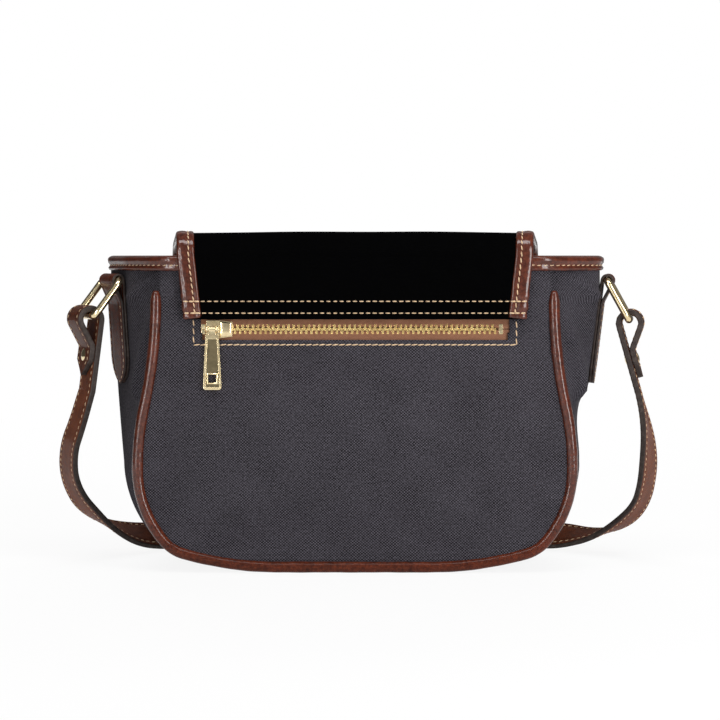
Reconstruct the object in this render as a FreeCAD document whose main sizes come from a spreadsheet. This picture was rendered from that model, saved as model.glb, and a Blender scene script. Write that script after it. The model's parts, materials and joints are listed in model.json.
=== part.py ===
import FreeCAD, Part
import math
import os
import re
from collections import namedtuple

import Sketcher
from FreeCAD import Placement, Rotation, Vector

# Saddle handbag: a cloth shell with leather piping, a flap that folds over the mouth, a zip pocket
# in the back and a leather strap on two rings.
# +Z is up, the back faces -Y, and the origin is the middle of the base.

# Driving sizes in millimetres and degrees.
SIZES = {
    # Shell: the outline of the panels, then the gusset between them
    "body_width": 259,
    "body_depth": 80,
    "mouth_height": 183,
    "widest_height": 60,
    "flank_radius": 68,
    "flank_angle": 50,
    "corner_radius": 26,
    "toe_angle": 16,
    "side_radius": 175,
    "side_lean_angle": 12.5,
    "shoulder_radius": 291,
    "panel_thickness": 2,
    "gusset_thickness": 2,
    "seam_lip": 2,
    "side_bulge": 4.5,
    "apex_width": 282,
    "right_spread": 5,
    "land_width": 27,
    "left_yaw_angle": 27,
    "right_yaw_angle": 9,
    "lining_thickness": 0.8,
    "seam_gap": 0.1,
    "overrun": 20,
    # Trim
    "piping_diameter": 5.5,
    "piping_drop": 19,
    "trim_leather": 1,
    "mouth_band": 8,
    # Zip pocket
    "zip_drop": 41.2,
    "window_length": 178,
    "window_height": 12.4,
    "tape_width": 13.5,
    "tape_thickness": 0.6,
    "tape_overlap": 6,
    "tape_slit": 2.4,
    "tooth_pitch": 2.95,
    "tooth_length": 1.35,
    "tooth_thickness": 2.4,
    "tooth_reach": 2.9,
    "tooth_cross": 0.9,
    "tooth_lead": 1,
    "stop_length": 2.4,
    "stop_gap": 0.6,
    "pocket_depth": 4.2,
    "pouch_drop": 95,
    "pouch_cloth": 0.5,
    "slider_length": 15,
    "slider_head": 10.4,
    "slider_tail": 8.4,
    "slider_plate": 1,
    "slider_clear": 0.3,
    "post_length": 3,
    "post_width": 1.6,
    "ear_radius": 1.7,
    "ear_thickness": 1.1,
    "ear_shift": 4,
    "pin_radius": 0.8,
    "pin_clear": 0.05,
    "pull_length": 35,
    "pull_top": 7.8,
    "pull_bottom": 10.8,
    "pull_corner": 1.6,
    "pull_thickness": 1.9,
    "pull_neck": 4.2,
    "pull_drop": 3,
    "pull_rim": 1.3,
    "pull_recess": 0.4,
    "pull_hole": 4.6,
    "pull_hole_rise": 4.2,
    # Flap
    "flap_cloth": 1,
    "flap_backing": 0.8,
    "arch_rise": 13.1,
    "fold_clear": 0.2,
    "fold_gap": 0.6,
    "flap_low": 46,
    "flap_front_width": 226,
    "flap_back_width": 199,
    "flap_flare_angle": 6.2,
    "flap_corner": 62,
    "flap_band": 10.5,
    "anchor_drop": 35.4,
    "anchor_width": 197,
    "anchor_band_drop": 1.5,
    # Magnetic snap
    "snap_height": 80,
    "snap_radius": 9,
    "cup_height": 2.6,
    "cup_wall": 1,
    "cup_bore": 4.4,
    "cup_post": 2.4,
    "magnet_height": 1.4,
    "stud_height": 1.6,
    "stud_nub": 2.3,
    "snap_clear": 0.3,
    # Tabs, rings and strap
    "ring_wire": 3.9,
    "ring_inner": 26.4,
    "ring_length": 26.4,
    "ring_bend": 4,
    "left_ring_lean_angle": 38,
    "right_ring_lean_angle": 29,
    "pivot_drop": 13,
    "tab_width": 24,
    "tab_leather": 1.5,
    "tab_clear": 0.45,
    "tab_throat": 13,
    "tab_length": 62,
    "tab_tip": 17,
    "strap_width": 22,
    "strap_thickness": 3.2,
    "loop_bore": 4.8,
    "loop_clear": 0.65,
    "loop_throat": 15,
    "loop_tail": 33,
    "loop_tip": 9,
    "left_arm_lean_angle": 8,
    "right_arm_lean_angle": 16,
    "arm_turn_angle": 33,
    "left_arm_reach": 174,
    "right_arm_reach": 178,
    "left_arm_bend": 48,
    "right_arm_bend": 37,
    "strap_standoff": 18,
    "strap_tilt_angle": 36,
    "floor_clear": 0.6,
    "rivet_drop": 21,
    "rivet_cap": 4.2,
    "rivet_height": 1.2,
    "rivet_post": 1.5,
}

DOC = FreeCAD.newDocument("saddle_handbag")
SHEET = DOC.addObject("Spreadsheet::Sheet", "Sizes")
for row, (alias, number) in enumerate(SIZES.items(), 1):
    SHEET.set(f"A{row}", alias)
    SHEET.set(f"B{row}", str(number))
    SHEET.setAlias(f"B{row}", alias)
DOC.recompute()

X_AXIS = Vector(1, 0, 0)
Y_AXIS = Vector(0, 1, 0)
Z_AXIS = Vector(0, 0, 1)
LEFT, RIGHT = -1, 1
YAWS = {RIGHT: "right_yaw_angle", LEFT: "left_yaw_angle"}
RING_LEANS = {RIGHT: "right_ring_lean_angle", LEFT: "left_ring_lean_angle"}
ARM_LEANS = {RIGHT: "right_arm_lean_angle", LEFT: "left_arm_lean_angle"}
ARM_REACHES = {RIGHT: "right_arm_reach", LEFT: "left_arm_reach"}
ARM_BENDS = {RIGHT: "right_arm_bend", LEFT: "left_arm_bend"}

# A corner of an outline, with the radius of the arc that leaves it and the way that arc bends:
# 1 to the left, -1 to the right, 0 for a straight line.
Corner = namedtuple("Corner", "across up radius turn", defaults=(None, 0))
NODES = {}


def formula(text):
    """Adds the sheet's name to each size in a formula."""
    def named(word):
        return f"Sizes.{word[0]}" if word[0] in SIZES else word[0]

    return re.sub(r"[a-z_]+", named, text)


def size(text):
    """The value of a formula, as a number."""
    return float(SHEET.evalExpression(formula(text)))


def node(item, label):
    """Names an object of the document as one sub-part of the bag."""
    item.Label = label
    NODES[label] = item
    return item


def place(item, x="0", y="0", z="0", rotation=Rotation()):
    """Binds an object's position to the sheet."""
    item.Placement = Placement(Vector(), rotation)
    for axis, text in zip("xyz", (x, y, z)):
        item.setExpression(f"Placement.Base.{axis}", formula(text))
    return item


def body(label):
    """A new body that is one sub-part."""
    return node(DOC.addObject("PartDesign::Body", label), label)


def sketch(owner, name, role, lift="0"):
    """A sketch on one of its body's origin planes, lifted along the plane's normal."""
    drawing = owner.newObject("Sketcher::SketchObject", f"{owner.Name}_{name}")
    plane = next(item for item in owner.Origin.OriginFeatures if item.Role == role)
    drawing.AttachmentSupport = [(plane, "")]
    drawing.MapMode = "FlatFace"
    drawing.setExpression("AttachmentOffset.Base.z", formula(lift))
    return drawing


def arc_centre(start, end, radius, turn):
    """Centre of the shorter arc from start to end."""
    chord = end - start
    left = Vector(-chord.y, chord.x, 0).normalize()
    reach = math.sqrt(max(radius ** 2 - (chord.Length / 2) ** 2, 0))
    return (start + end) / 2 + left * turn * reach


def curve(start, end, radius, turn):
    """Line or arc between two corners."""
    if not turn:
        return Part.LineSegment(start, end)
    centre = arc_centre(start, end, radius, turn)
    first, last = (start, end) if turn > 0 else (end, start)
    angles = [math.atan2(point.y - centre.y, point.x - centre.x) for point in (first, last)]
    return Part.ArcOfCircle(Part.Circle(centre, Z_AXIS, radius), *angles)


def bind(drawing, kind, text, *where):
    """Adds one constraint whose value comes from the sheet."""
    index = drawing.addConstraint(Sketcher.Constraint(kind, *where, size(text)))
    drawing.setExpression(f"Constraints[{index}]", formula(text))


def draw(drawing, corners, closed=True):
    """Draws an outline, with each corner and radius bound to the sheet."""
    places = [Vector(size(corner.across), size(corner.up), 0) for corner in corners]
    spans = list(zip(corners, places, places[1:] + places[:1]))[:len(corners) if closed else -1]
    ends = []
    for corner, start, end in spans:
        radius = size(corner.radius) if corner.turn else 0
        edge = drawing.addGeometry(curve(start, end, radius, corner.turn), False)
        ends.append((edge, 2, 1) if corner.turn < 0 else (edge, 1, 2))
    for (edge, first, _), corner in zip(ends, corners):
        bind(drawing, "DistanceX", corner.across, -1, 1, edge, first)
        bind(drawing, "DistanceY", corner.up, -1, 1, edge, first)
        if corner.turn:
            bind(drawing, "Radius", corner.radius, edge)
    for (edge, _, last), (following, first, _) in zip(ends, ends[1:] + ends[:1] * closed):
        drawing.addConstraint(Sketcher.Constraint("Coincident", edge, last, following, first))
    if not closed:
        edge, _, last = ends[-1]
        bind(drawing, "DistanceX", corners[-1].across, -1, 1, edge, last)
        bind(drawing, "DistanceY", corners[-1].up, -1, 1, edge, last)
    return drawing


def circle(drawing, radius, across="0", up="0"):
    """Draws a circle bound to the sheet."""
    middle = Vector(size(across), size(up), 0)
    edge = drawing.addGeometry(Part.Circle(middle, Z_AXIS, size(radius)), False)
    bind(drawing, "DistanceX", across, -1, 1, edge, 3)
    bind(drawing, "DistanceY", up, -1, 1, edge, 3)
    bind(drawing, "Radius", radius, edge)
    return drawing


def rectangle(left, right, low, high):
    """The corners of an upright rectangle."""
    return [Corner(left, low), Corner(right, low), Corner(right, high), Corner(left, high)]


def pad(owner, drawing, length, both=False):
    """Pads a sketch along its normal, or equally to both sides."""
    feature = owner.newObject("PartDesign::Pad", f"{drawing.Name}_pad")
    feature.Profile = drawing
    feature.SideType = "Symmetric" if both else "One side"
    feature.setExpression("Length", formula(length))
    DOC.recompute()
    return feature


def pocket(owner, drawing, length, both=True):
    """Cuts a sketch along its normal, or equally to both sides."""
    before = owner.Shape.Volume
    feature = owner.newObject("PartDesign::Pocket", f"{drawing.Name}_cut")
    feature.Profile = drawing
    feature.SideType = "Symmetric" if both else "One side"
    feature.Reversed = not both
    feature.setExpression("Length", formula(length))
    DOC.recompute()
    assert owner.Shape.Volume < before, f"{drawing.Name} cuts nothing"
    return feature


def turned(label, corners):
    """A piece turned about its own Z axis."""
    owner = body(label)
    drawing = draw(sketch(owner, "profile", "XZ_Plane"), corners)
    feature = owner.newObject("PartDesign::Revolution", f"{label}_turn")
    feature.Profile = drawing
    feature.ReferenceAxis = (drawing, ["V_Axis"])
    DOC.recompute()
    return owner


def box(label, length, width, height, x, y, z):
    """A plain block, placed by its lowest corner."""
    block = DOC.addObject("Part::Box", label)
    for name, text in (("Length", length), ("Width", width), ("Height", height)):
        block.setExpression(name, formula(text))
    return place(block, x, y, z)


def cut(label, base, *tools):
    """One shape less one or more others."""
    for index, tool in enumerate(tools):
        result = DOC.addObject("Part::Cut", f"{label}_cut_{index}")
        result.Base = base
        result.Tool = tool
        base = result
    DOC.recompute()
    return base


def solid(label, shape):
    """A sub-part whose form no feature of the document makes."""
    item = DOC.addObject("Part::Feature", label)
    item.Shape = shape
    return node(item, label)


# Levels that follow the mouth
PIPING_TOP = "(mouth_height - piping_drop)"
ZIP_LEVEL = "(mouth_height - zip_drop)"
ANCHOR_LOW = "(mouth_height - anchor_drop)"
PIVOT_LEVEL = "(mouth_height - pivot_drop)"

# Outlines of the shell
SHOULDER = "((side_radius + shoulder_radius) * sin(side_lean_angle))"
MOUTH_HALF = "(body_width / 2 - (side_radius + shoulder_radius) * (1 - cos(side_lean_angle)))"
PANEL_INSET = "(piping_diameter + seam_gap)"
APEX_HALF = {RIGHT: "(apex_width / 2 + right_spread)", LEFT: "(apex_width / 2)"}


def lower_half(half, inset):
    """Right side of an outline from its widest point down to the flat of the base."""
    centre = f"({half} - flank_radius)"
    toe = f"({centre} + (flank_radius - corner_radius) * sin(flank_angle))"
    rise = "(widest_height - (flank_radius - corner_radius) * cos(flank_angle))"
    base = f"(({rise} - corner_radius * cos(toe_angle)) / (1 - cos(toe_angle)))"
    return [
        Corner(f"{half} - {inset}", "widest_height", f"flank_radius - {inset}", -1),
        Corner(f"{centre} + (flank_radius - {inset}) * sin(flank_angle)",
               f"widest_height - (flank_radius - {inset}) * cos(flank_angle)",
               f"corner_radius - {inset}", -1),
        Corner(f"{toe} + (corner_radius - {inset}) * sin(toe_angle)",
               f"{rise} - (corner_radius - {inset}) * cos(toe_angle)", f"{base} - {inset}", -1),
        Corner(f"{toe} + (corner_radius - {base}) * sin(toe_angle)", inset),
    ]


def seam_half(inset, top):
    """Right side of the panels' outline, from the top down."""
    return [
        Corner(f"{MOUTH_HALF} - {inset}", top),
        Corner(f"{MOUTH_HALF} - {inset}", f"widest_height + {SHOULDER}", f"shoulder_radius + {inset}", 1),
        Corner(f"body_width / 2 - side_radius + (side_radius - {inset}) * cos(side_lean_angle)",
               f"widest_height + (side_radius - {inset}) * sin(side_lean_angle)",
               f"side_radius - {inset}", -1),
        *lower_half("body_width / 2", inset),
    ]


def land_half(peak, skew, inset, top):
    """Right side of the gusset's outline at one edge of the land that carries a tab."""
    widest = f"(body_width / 2 + side_bulge + {skew})"
    apex = f"({peak} + {skew})"
    middle = "(side_radius * sin(side_lean_angle))"
    return [
        Corner(f"{apex} - {inset}", top),
        Corner(f"{apex} - {inset}", f"widest_height + {SHOULDER}"),
        Corner(f"{widest} + ({apex} - {widest}) * {middle} / {SHOULDER} - {inset}",
               f"widest_height + {middle}"),
        *lower_half(widest, inset),
    ]


def joined(right, left):
    """A whole outline, clockwise from the top right, from two right halves, the second mirrored."""
    mirrored = [Corner(f"-({corner.across})", corner.up) for corner in reversed(left)]
    bends = [(corner.radius, corner.turn) for corner in reversed(left[:-1])] + [(None, 0)]
    other = [Corner(corner.across, corner.up, *bend) for corner, bend in zip(mirrored, bends)]
    return right + other


def wire(corners, depth):
    """An outline as a closed wire in the upright plane at one depth."""
    flat = [Vector(size(corner.across), size(corner.up), 0) for corner in corners]
    edges = []
    for corner, start, end in zip(corners, flat, flat[1:] + flat[:1]):
        points = [start, end]
        if corner.turn:
            centre = arc_centre(start, end, size(corner.radius), corner.turn)
            middle = ((start + end) / 2 - centre).normalize() * size(corner.radius) + centre
            points.insert(1, middle)
        stood = [Vector(point.x, depth, point.y) for point in points]
        edges.append((Part.Arc(*stood) if corner.turn else Part.LineSegment(*stood)).toShape())
    return Part.Wire(edges)


def planed(block):
    """The same block, with a true plane for each of its flat faces."""
    def straight(edge):
        return math.isclose(edge.Length, (edge.lastVertex().Point - edge.firstVertex().Point).Length)

    faces = []
    for face in block.Faces:
        if face.findPlane() and all(straight(edge) for edge in face.OuterWire.Edges):
            corners = [vertex.Point for vertex in face.OuterWire.OrderedVertexes]
            face = Part.Face(Part.makePolygon(corners + corners[:1]))
        faces.append(face)
    shell = Part.Shell(faces)
    shell.sewShape()
    whole = Part.Solid(shell)
    return whole.reversed() if whole.Volume < 0 else whole


def shell_block(inset, top):
    """The filled space inside the gusset, offset inwards by an inset."""
    seam = size("body_depth / 2 - panel_thickness")
    lip = size("seam_lip")
    land = size("land_width / 2")
    sections = []
    for depth in (-seam, lip - seam, -land, land, seam - lip, seam):
        if abs(depth) > land:
            half = seam_half(f"({PANEL_INSET} + {inset})", top)
            outline = joined(half, half)
        else:
            side = "land_width / 2" if depth > 0 else "-land_width / 2"
            outline = joined(*(land_half(APEX_HALF[hand], f"{side} * tan({yaw})", inset, top)
                               for hand, yaw in YAWS.items()))
        sections.append(wire(outline, depth))
    return planed(Part.makeLoft(sections, True, True))


# Shell

def make_panels():
    """Back panel with its zip window, and front panel with the hole for the snap's post."""
    half = seam_half(PANEL_INSET, "mouth_height")
    faces = {"back_panel": "panel_thickness - body_depth / 2", "front_panel": "body_depth / 2"}
    for label, face in faces.items():
        panel = body(label)
        pad(panel, draw(sketch(panel, "outline", "XZ_Plane"), joined(half, half)), "panel_thickness")
        place(panel, y=face)
    window = rectangle("-window_length / 2", "window_length / 2", f"{ZIP_LEVEL} - window_height / 2",
                       f"{ZIP_LEVEL} + window_height / 2")
    back, front = NODES["back_panel"], NODES["front_panel"]
    pocket(back, draw(sketch(back, "window", "XZ_Plane"), window), "overrun")
    hole = circle(sketch(front, "hole", "XZ_Plane"), "cup_post + seam_gap", up="snap_height")
    pocket(front, hole, "overrun")


def make_gusset():
    """Cloth wall between the panels, with a flat land on each side for the tab."""
    outer = shell_block("0", "mouth_height")
    inner = shell_block("gusset_thickness", "mouth_height + overrun")
    solid("gusset", outer.cut(inner))


def make_lining():
    """Open bag of lining, set forward of the zip pocket and ending under the mouth's binding."""
    wall = size("lining_thickness")
    back = size("panel_thickness + pocket_depth - body_depth / 2")
    front = size("body_depth / 2 - panel_thickness - seam_gap")
    top = size("mouth_height + trim_leather - mouth_band")
    reach = size("apex_width")
    outer = shell_block("(gusset_thickness + seam_gap)", "mouth_height")
    inner = shell_block("(gusset_thickness + seam_gap + lining_thickness)", "mouth_height + overrun")
    room = Part.makeBox(2 * reach, front - back, top, Vector(-reach, back, 0))
    space = Part.makeBox(2 * reach, front - back - 2 * wall, 2 * top, Vector(-reach, back + wall, 0))
    solid("lining", outer.common(room).cut(inner.common(space)))


def make_piping():
    """Round leather piping along the seam of each panel."""
    half = seam_half("piping_diameter / 2", PIPING_TOP)
    middle = "(body_depth / 2 - panel_thickness / 2)"
    for label, depth in (("back_piping", f"-{middle}"), ("front_piping", middle)):
        piping = body(label)
        path = draw(sketch(piping, "path", "XZ_Plane"), joined(half, half), closed=False)
        end = sketch(piping, "round", "XY_Plane", PIPING_TOP)
        ring = circle(end, "piping_diameter / 2", half[0].across)
        pipe = piping.newObject("PartDesign::AdditivePipe", f"{label}_pipe")
        pipe.Profile = ring
        pipe.Spine = path
        place(piping, y=depth)


def mouth_plan(inset):
    """The shell's wall at the mouth, seen from above, as a closed wire."""
    seam = size(f"{MOUTH_HALF} - {PANEL_INSET} - {inset}")
    land = size("land_width / 2")
    skews = {side: land * math.tan(math.radians(size(yaw))) for side, yaw in YAWS.items()}
    face = size(f"body_depth / 2 - {inset}")
    lip = size("body_depth / 2 - panel_thickness - seam_lip")
    points = []
    for side in (RIGHT, LEFT):
        apex = size(f"{APEX_HALF[side]} - {inset}")
        half = [(seam, -face), (seam, -lip), (apex - skews[side], -land), (apex + skews[side], land),
                (seam, lip), (seam, face)]
        points += [Vector(side * across, deep, 0) for across, deep in half[::side]]
    return Part.makePolygon(points + points[:1])


def make_mouth_binding():
    """Leather folded over the rim of the mouth."""
    gap, leather, band = size("seam_gap"), size("trim_leather"), size("mouth_band")
    top = size("mouth_height + seam_gap + trim_leather")
    outer, inner = mouth_plan("0"), mouth_plan("gusset_thickness")

    def collar(offset, high):
        rims = [plan.makeOffset2D(grow, join=2) for plan, grow in ((outer, offset), (inner, -offset))]
        for rim in rims:
            rim.translate(Vector(0, 0, top - band))
        around, within = (Part.Face(rim).extrude(Vector(0, 0, high + band - top)) for rim in rims)
        return around.cut(within)

    solid("mouth_binding", collar(gap + leather, top).cut(collar(gap, top - leather)))


# Zip pocket

TAPE_FACE = "(panel_thickness + seam_gap - body_depth / 2)"
CHAIN = f"({TAPE_FACE} + tape_thickness / 2)"
SLIDER_HOME = "(window_length / 2 - stop_length - stop_gap - slider_length / 2)"
CHAIN_START = f"({SLIDER_HOME} - tooth_lead)"
CHAIN_ROOM = f"(window_length / 2 - stop_length - stop_gap + {CHAIN_START})"
TOOTH_COUNT = f"floor({CHAIN_ROOM} / tooth_pitch - 1 / 2)"


def make_tapes():
    """The two cloth tapes of the zip, behind the window's edges."""
    length, start = "window_length + 2 * tape_overlap", "-window_length / 2 - tape_overlap"
    lows = {"zip_tape_upper": f"{ZIP_LEVEL} + tape_slit / 2",
            "zip_tape_lower": f"{ZIP_LEVEL} - tape_slit / 2 - tape_width"}
    for label, low in lows.items():
        node(box(label, length, "tape_thickness", "tape_width", start, TAPE_FACE, low), label)


def clasp(label, reach, cross, length):
    """A metal piece that grips the edge of the tape, drawn for the upper tape."""
    grip = body(label)
    half, slot = "tooth_thickness / 2", "tape_thickness / 2 + pin_clear"
    floor = "tape_slit / 2 - pin_clear"
    profile = [Corner(f"-({half})", f"-{cross}"), Corner(half, f"-{cross}"), Corner(half, reach),
               Corner(slot, reach), Corner(slot, floor), Corner(f"-({slot})", floor),
               Corner(f"-({slot})", reach), Corner(f"-({half})", reach)]
    feature = pad(grip, draw(sketch(grip, "profile", "YZ_Plane"), profile), length)
    return grip, feature


def make_teeth():
    """Two rows of metal teeth, half a pitch apart so that they mesh."""
    turned_over = Rotation(X_AXIS, 180)
    rows = (("zip_teeth_upper", "0", Rotation()), ("zip_teeth_lower", "tooth_pitch / 2", turned_over))
    for label, shift, rotation in rows:
        row, tooth = clasp(label, "tooth_reach", "tooth_cross", "tooth_length")
        pattern = row.newObject("PartDesign::LinearPattern", f"{label}_row")
        pattern.Originals = [tooth]
        axis = next(item for item in row.Origin.OriginFeatures if item.Role == "X_Axis")
        pattern.Direction = (axis, [""])
        pattern.Mode = "Spacing"
        pattern.setExpression("Offset", formula("tooth_pitch"))
        pattern.setExpression("Occurrences", formula(TOOTH_COUNT))
        row.Tip = pattern
        place(row, f"{shift} - {CHAIN_START}", CHAIN, ZIP_LEVEL, rotation)
    top_stop = f"-{SLIDER_HOME} - slider_length / 2 - stop_gap - stop_length"
    for label, rotation in (("zip_top_stop_upper", Rotation()), ("zip_top_stop_lower", turned_over)):
        stop, _ = clasp(label, "tooth_reach", "0", "stop_length")
        place(stop, top_stop, CHAIN, ZIP_LEVEL, rotation)
    stop = body("zip_bottom_stop")
    outline = rectangle("0", "stop_length", "-tooth_reach", "tooth_reach")
    pad(stop, draw(sketch(stop, "outline", "XZ_Plane"), outline), "tooth_thickness", both=True)
    slot = rectangle("-tape_thickness / 2 - pin_clear", "tape_thickness / 2 + pin_clear",
                     "tape_slit / 2 - pin_clear", "overrun")
    for name, sign in (("upper", ""), ("lower", "-")):
        ends = [corner._replace(up=f"{sign}({corner.up})") for corner in slot]
        pocket(stop, draw(sketch(stop, name, "YZ_Plane"), ends), "overrun")
    place(stop, f"({TOOTH_COUNT} + 1 / 2) * tooth_pitch - {CHAIN_START}", CHAIN, ZIP_LEVEL)


def make_pouch():
    """Flat pocket bag behind the zip, open towards it."""
    wide = "(window_length + 2 * tape_overlap)"
    front = f"({TAPE_FACE} + tape_thickness + seam_gap)"
    deep = f"(panel_thickness + pocket_depth - seam_gap - body_depth / 2 - {front})"
    low, high = f"({ZIP_LEVEL} - pouch_drop)", "(pouch_drop + tape_slit / 2 + tape_width)"
    outer = box("pouch_outer", wide, deep, high, f"-{wide} / 2", front, low)
    inner = box("pouch_inner", *(f"{span} - 2 * pouch_cloth" for span in (wide, deep, high)),
                f"pouch_cloth - {wide} / 2", f"{front} + pouch_cloth", f"{low} + pouch_cloth")
    slot = box("pouch_slot", "window_length", "overrun", "window_height", "-window_length / 2",
               f"{front} + pouch_cloth - overrun", f"{ZIP_LEVEL} - window_height / 2")
    node(cut("pouch", outer, inner, slot), "pocket_pouch")


CHANNEL = "(tooth_thickness / 2 + slider_clear)"
SLIDER_FACE = f"({CHANNEL} + slider_plate)"
PIN_LIFT = f"({SLIDER_FACE} + ear_radius)"
EAR_SPAN = "(pull_neck + 2 * slider_clear)"


def make_slider():
    """Slider of two plates joined by a post, with two ears for the pull's pin."""
    slider = body("zip_slider")
    plan = [Corner("-slider_length / 2", "-slider_head / 2"), Corner("0", "-slider_head / 2"),
            Corner("slider_length / 2", "-slider_tail / 2"), Corner("slider_length / 2", "slider_tail / 2"),
            Corner("0", "slider_head / 2"), Corner("-slider_length / 2", "slider_head / 2")]
    pad(slider, draw(sketch(slider, "plan", "XZ_Plane"), plan), f"2 * {SLIDER_FACE}", both=True)
    reach = "tooth_reach + slider_clear"
    channel = rectangle(f"-{CHANNEL}", CHANNEL, f"-({reach})", reach)
    pocket(slider, draw(sketch(slider, "channel", "YZ_Plane"), channel), "slider_length + overrun")
    gap = "(tape_thickness / 2 + slider_clear)"
    slot = rectangle(f"-{gap}", gap, "-slider_head", "slider_head")
    pocket(slider, draw(sketch(slider, "slot", "YZ_Plane"), slot), "slider_length + overrun")
    post = rectangle("-slider_length / 2", "post_length - slider_length / 2", "-post_width / 2",
                     "post_width / 2")
    pad(slider, draw(sketch(slider, "post", "XZ_Plane"), post), f"2 * {SLIDER_FACE}", both=True)
    ear = [Corner(f"-{CHANNEL}", "-ear_radius"), Corner(f"-{CHANNEL}", "ear_radius"),
           Corner(f"-{PIN_LIFT}", "ear_radius", "ear_radius", 1),
           Corner(f"-{PIN_LIFT} - ear_radius", "0", "ear_radius", 1), Corner(f"-{PIN_LIFT}", "-ear_radius")]
    ears = draw(sketch(slider, "ears", "YZ_Plane", "-ear_shift"), ear)
    pad(slider, ears, f"{EAR_SPAN} + 2 * ear_thickness", both=True)
    between = rectangle(f"-{PIN_LIFT} - 2 * ear_radius", f"-{SLIDER_FACE}", "-2 * ear_radius",
                        "2 * ear_radius")
    pocket(slider, draw(sketch(slider, "between", "YZ_Plane", "-ear_shift"), between), EAR_SPAN)
    hole = circle(sketch(slider, "hole", "YZ_Plane", "-ear_shift"), "pin_radius", f"-{PIN_LIFT}")
    pocket(slider, hole, "overrun")
    place(slider, f"-{SLIDER_HOME}", CHAIN, ZIP_LEVEL)
    pin = DOC.addObject("Part::Cylinder", "zip_pin")
    pin.setExpression("Radius", formula("pin_radius"))
    pin.setExpression("Height", formula(f"{EAR_SPAN} + 2 * ear_thickness"))
    place(pin, f"-{SLIDER_HOME} - ear_shift - {EAR_SPAN} / 2 - ear_thickness", f"{CHAIN} - {PIN_LIFT}",
          ZIP_LEVEL, Rotation(Y_AXIS, 90))
    node(pin, "zip_pin")


def make_pull():
    """Tapered pull with a raised rim, a square window and an eye for the pin."""
    pull = body("zip_pull")

    def tapered(inset, low, high):
        slope = "(pull_bottom - pull_top) / 2 / (pull_length - pull_drop)"
        bottom, top = (f"(pull_top / 2 + ({level} - pull_drop) * {slope} - {inset})"
                       for level in (low, high))
        return [Corner(f"-{bottom}", f"-({low})"), Corner(bottom, f"-({low})"), Corner(top, f"-({high})"),
                Corner(f"-{top}", f"-({high})")]

    def at_low_corner(edge):
        along = edge.tangentAt(edge.FirstParameter)
        return abs(along.y) > abs(along.z) and edge.CenterOfMass.z < -size("pull_length / 2")

    whole = draw(sketch(pull, "plate", "XZ_Plane"), tapered("0", "pull_length", "pull_drop"))
    plate = pad(pull, whole, "pull_thickness", True)
    fillet = pull.newObject("PartDesign::Fillet", "pull_round")
    fillet.Base = (plate, [f"Edge{index}" for index, edge in enumerate(plate.Shape.Edges, 1)
                           if at_low_corner(edge)])
    fillet.setExpression("Radius", formula("pull_corner"))
    DOC.recompute()
    neck = rectangle("-pull_neck / 2", "pull_neck / 2", "-pull_drop - pull_rim", "0")
    pad(pull, draw(sketch(pull, "neck", "XZ_Plane"), neck), "pull_thickness", True)
    pad(pull, circle(sketch(pull, "eye", "YZ_Plane"), "ear_radius - slider_clear"), "pull_neck", True)
    sunk = tapered("pull_rim", "pull_length - pull_rim", "pull_drop + 2 * pull_rim")
    for name, lift in (("back", "pull_thickness / 2 - pull_recess"), ("front", "-pull_thickness / 2")):
        pocket(pull, draw(sketch(pull, name, "XZ_Plane", lift), sunk), "pull_recess", both=False)
    window = rectangle("-pull_hole / 2", "pull_hole / 2", "pull_hole_rise - pull_length",
                       "pull_hole_rise + pull_hole - pull_length")
    pocket(pull, draw(sketch(pull, "window", "XZ_Plane"), window), "overrun")
    pocket(pull, circle(sketch(pull, "bore", "YZ_Plane"), "pin_radius + pin_clear"), "overrun")
    place(pull, f"-{SLIDER_HOME} - ear_shift", f"{CHAIN} - {PIN_LIFT}", ZIP_LEVEL)


# Flap

FOLD = "(mouth_height + seam_gap + trim_leather + snap_clear)"
SHEET_THICK = "(flap_cloth + seam_gap + flap_backing)"
ANCHOR_FACE = "(body_depth / 2 + seam_gap + trim_leather + fold_clear)"
FLAP_BACK = f"({ANCHOR_FACE} + {SHEET_THICK})"
FLAP_FACE = "(body_depth / 2 + cup_height + snap_clear + stud_height)"
FLAP_FRONT = f"({FLAP_FACE} + {SHEET_THICK})"
RIDGE = f"({FOLD} + arch_rise)"


def arch_profile(outer, inner):
    """Side profile of one layer of the flap, between two depths under its outer face."""
    def run(depth, turn):
        radius = f"arch_rise - ({depth})"
        top = f"{RIDGE} - ({depth})"
        return [Corner(f"({depth}) - {FLAP_BACK}", FOLD, radius, turn),
                Corner(f"arch_rise - {FLAP_BACK}", top),
                Corner(f"{FLAP_FRONT} - arch_rise", top, radius, turn),
                Corner(f"{FLAP_FRONT} - ({depth})", FOLD),
                Corner(f"{FLAP_FRONT} - ({depth})", "flap_low")]

    there, back = run(outer, -1), run(inner, 1)[::-1]
    bends = [corner[2:] for corner in run(inner, 1)[:-1]][::-1] + [(None, 0)]
    return there + [Corner(corner.across, corner.up, *bend) for corner, bend in zip(back, bends)]


def drop_outline(inset):
    """Edge of the flap's front, from the fold's level on the right round to the left."""
    middle = "(flap_low + flap_corner)"
    wide = "(flap_front_width / 2)"
    across = f"({wide} + ({FOLD} - {middle}) * tan(flap_flare_angle) - flap_corner / cos(flap_flare_angle))"
    right = [Corner(f"{wide} - {inset} / cos(flap_flare_angle)", FOLD),
             Corner(f"{across} + (flap_corner - {inset}) * cos(flap_flare_angle)",
                    f"{middle} + (flap_corner - {inset}) * sin(flap_flare_angle)",
                    f"flap_corner - {inset}", -1),
             Corner(across, f"flap_low + {inset}")]
    return joined(right, right)


def arch_edge(inset, side, depth):
    """Half width of the arch over the mouth, at one depth."""
    share = f"(({depth}) + {FLAP_BACK}) / ({FLAP_FRONT} + {FLAP_BACK})"
    return f"{side} * (flap_back_width / 2 + (flap_front_width - flap_back_width) / 2 * {share} - {inset})"


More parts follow.
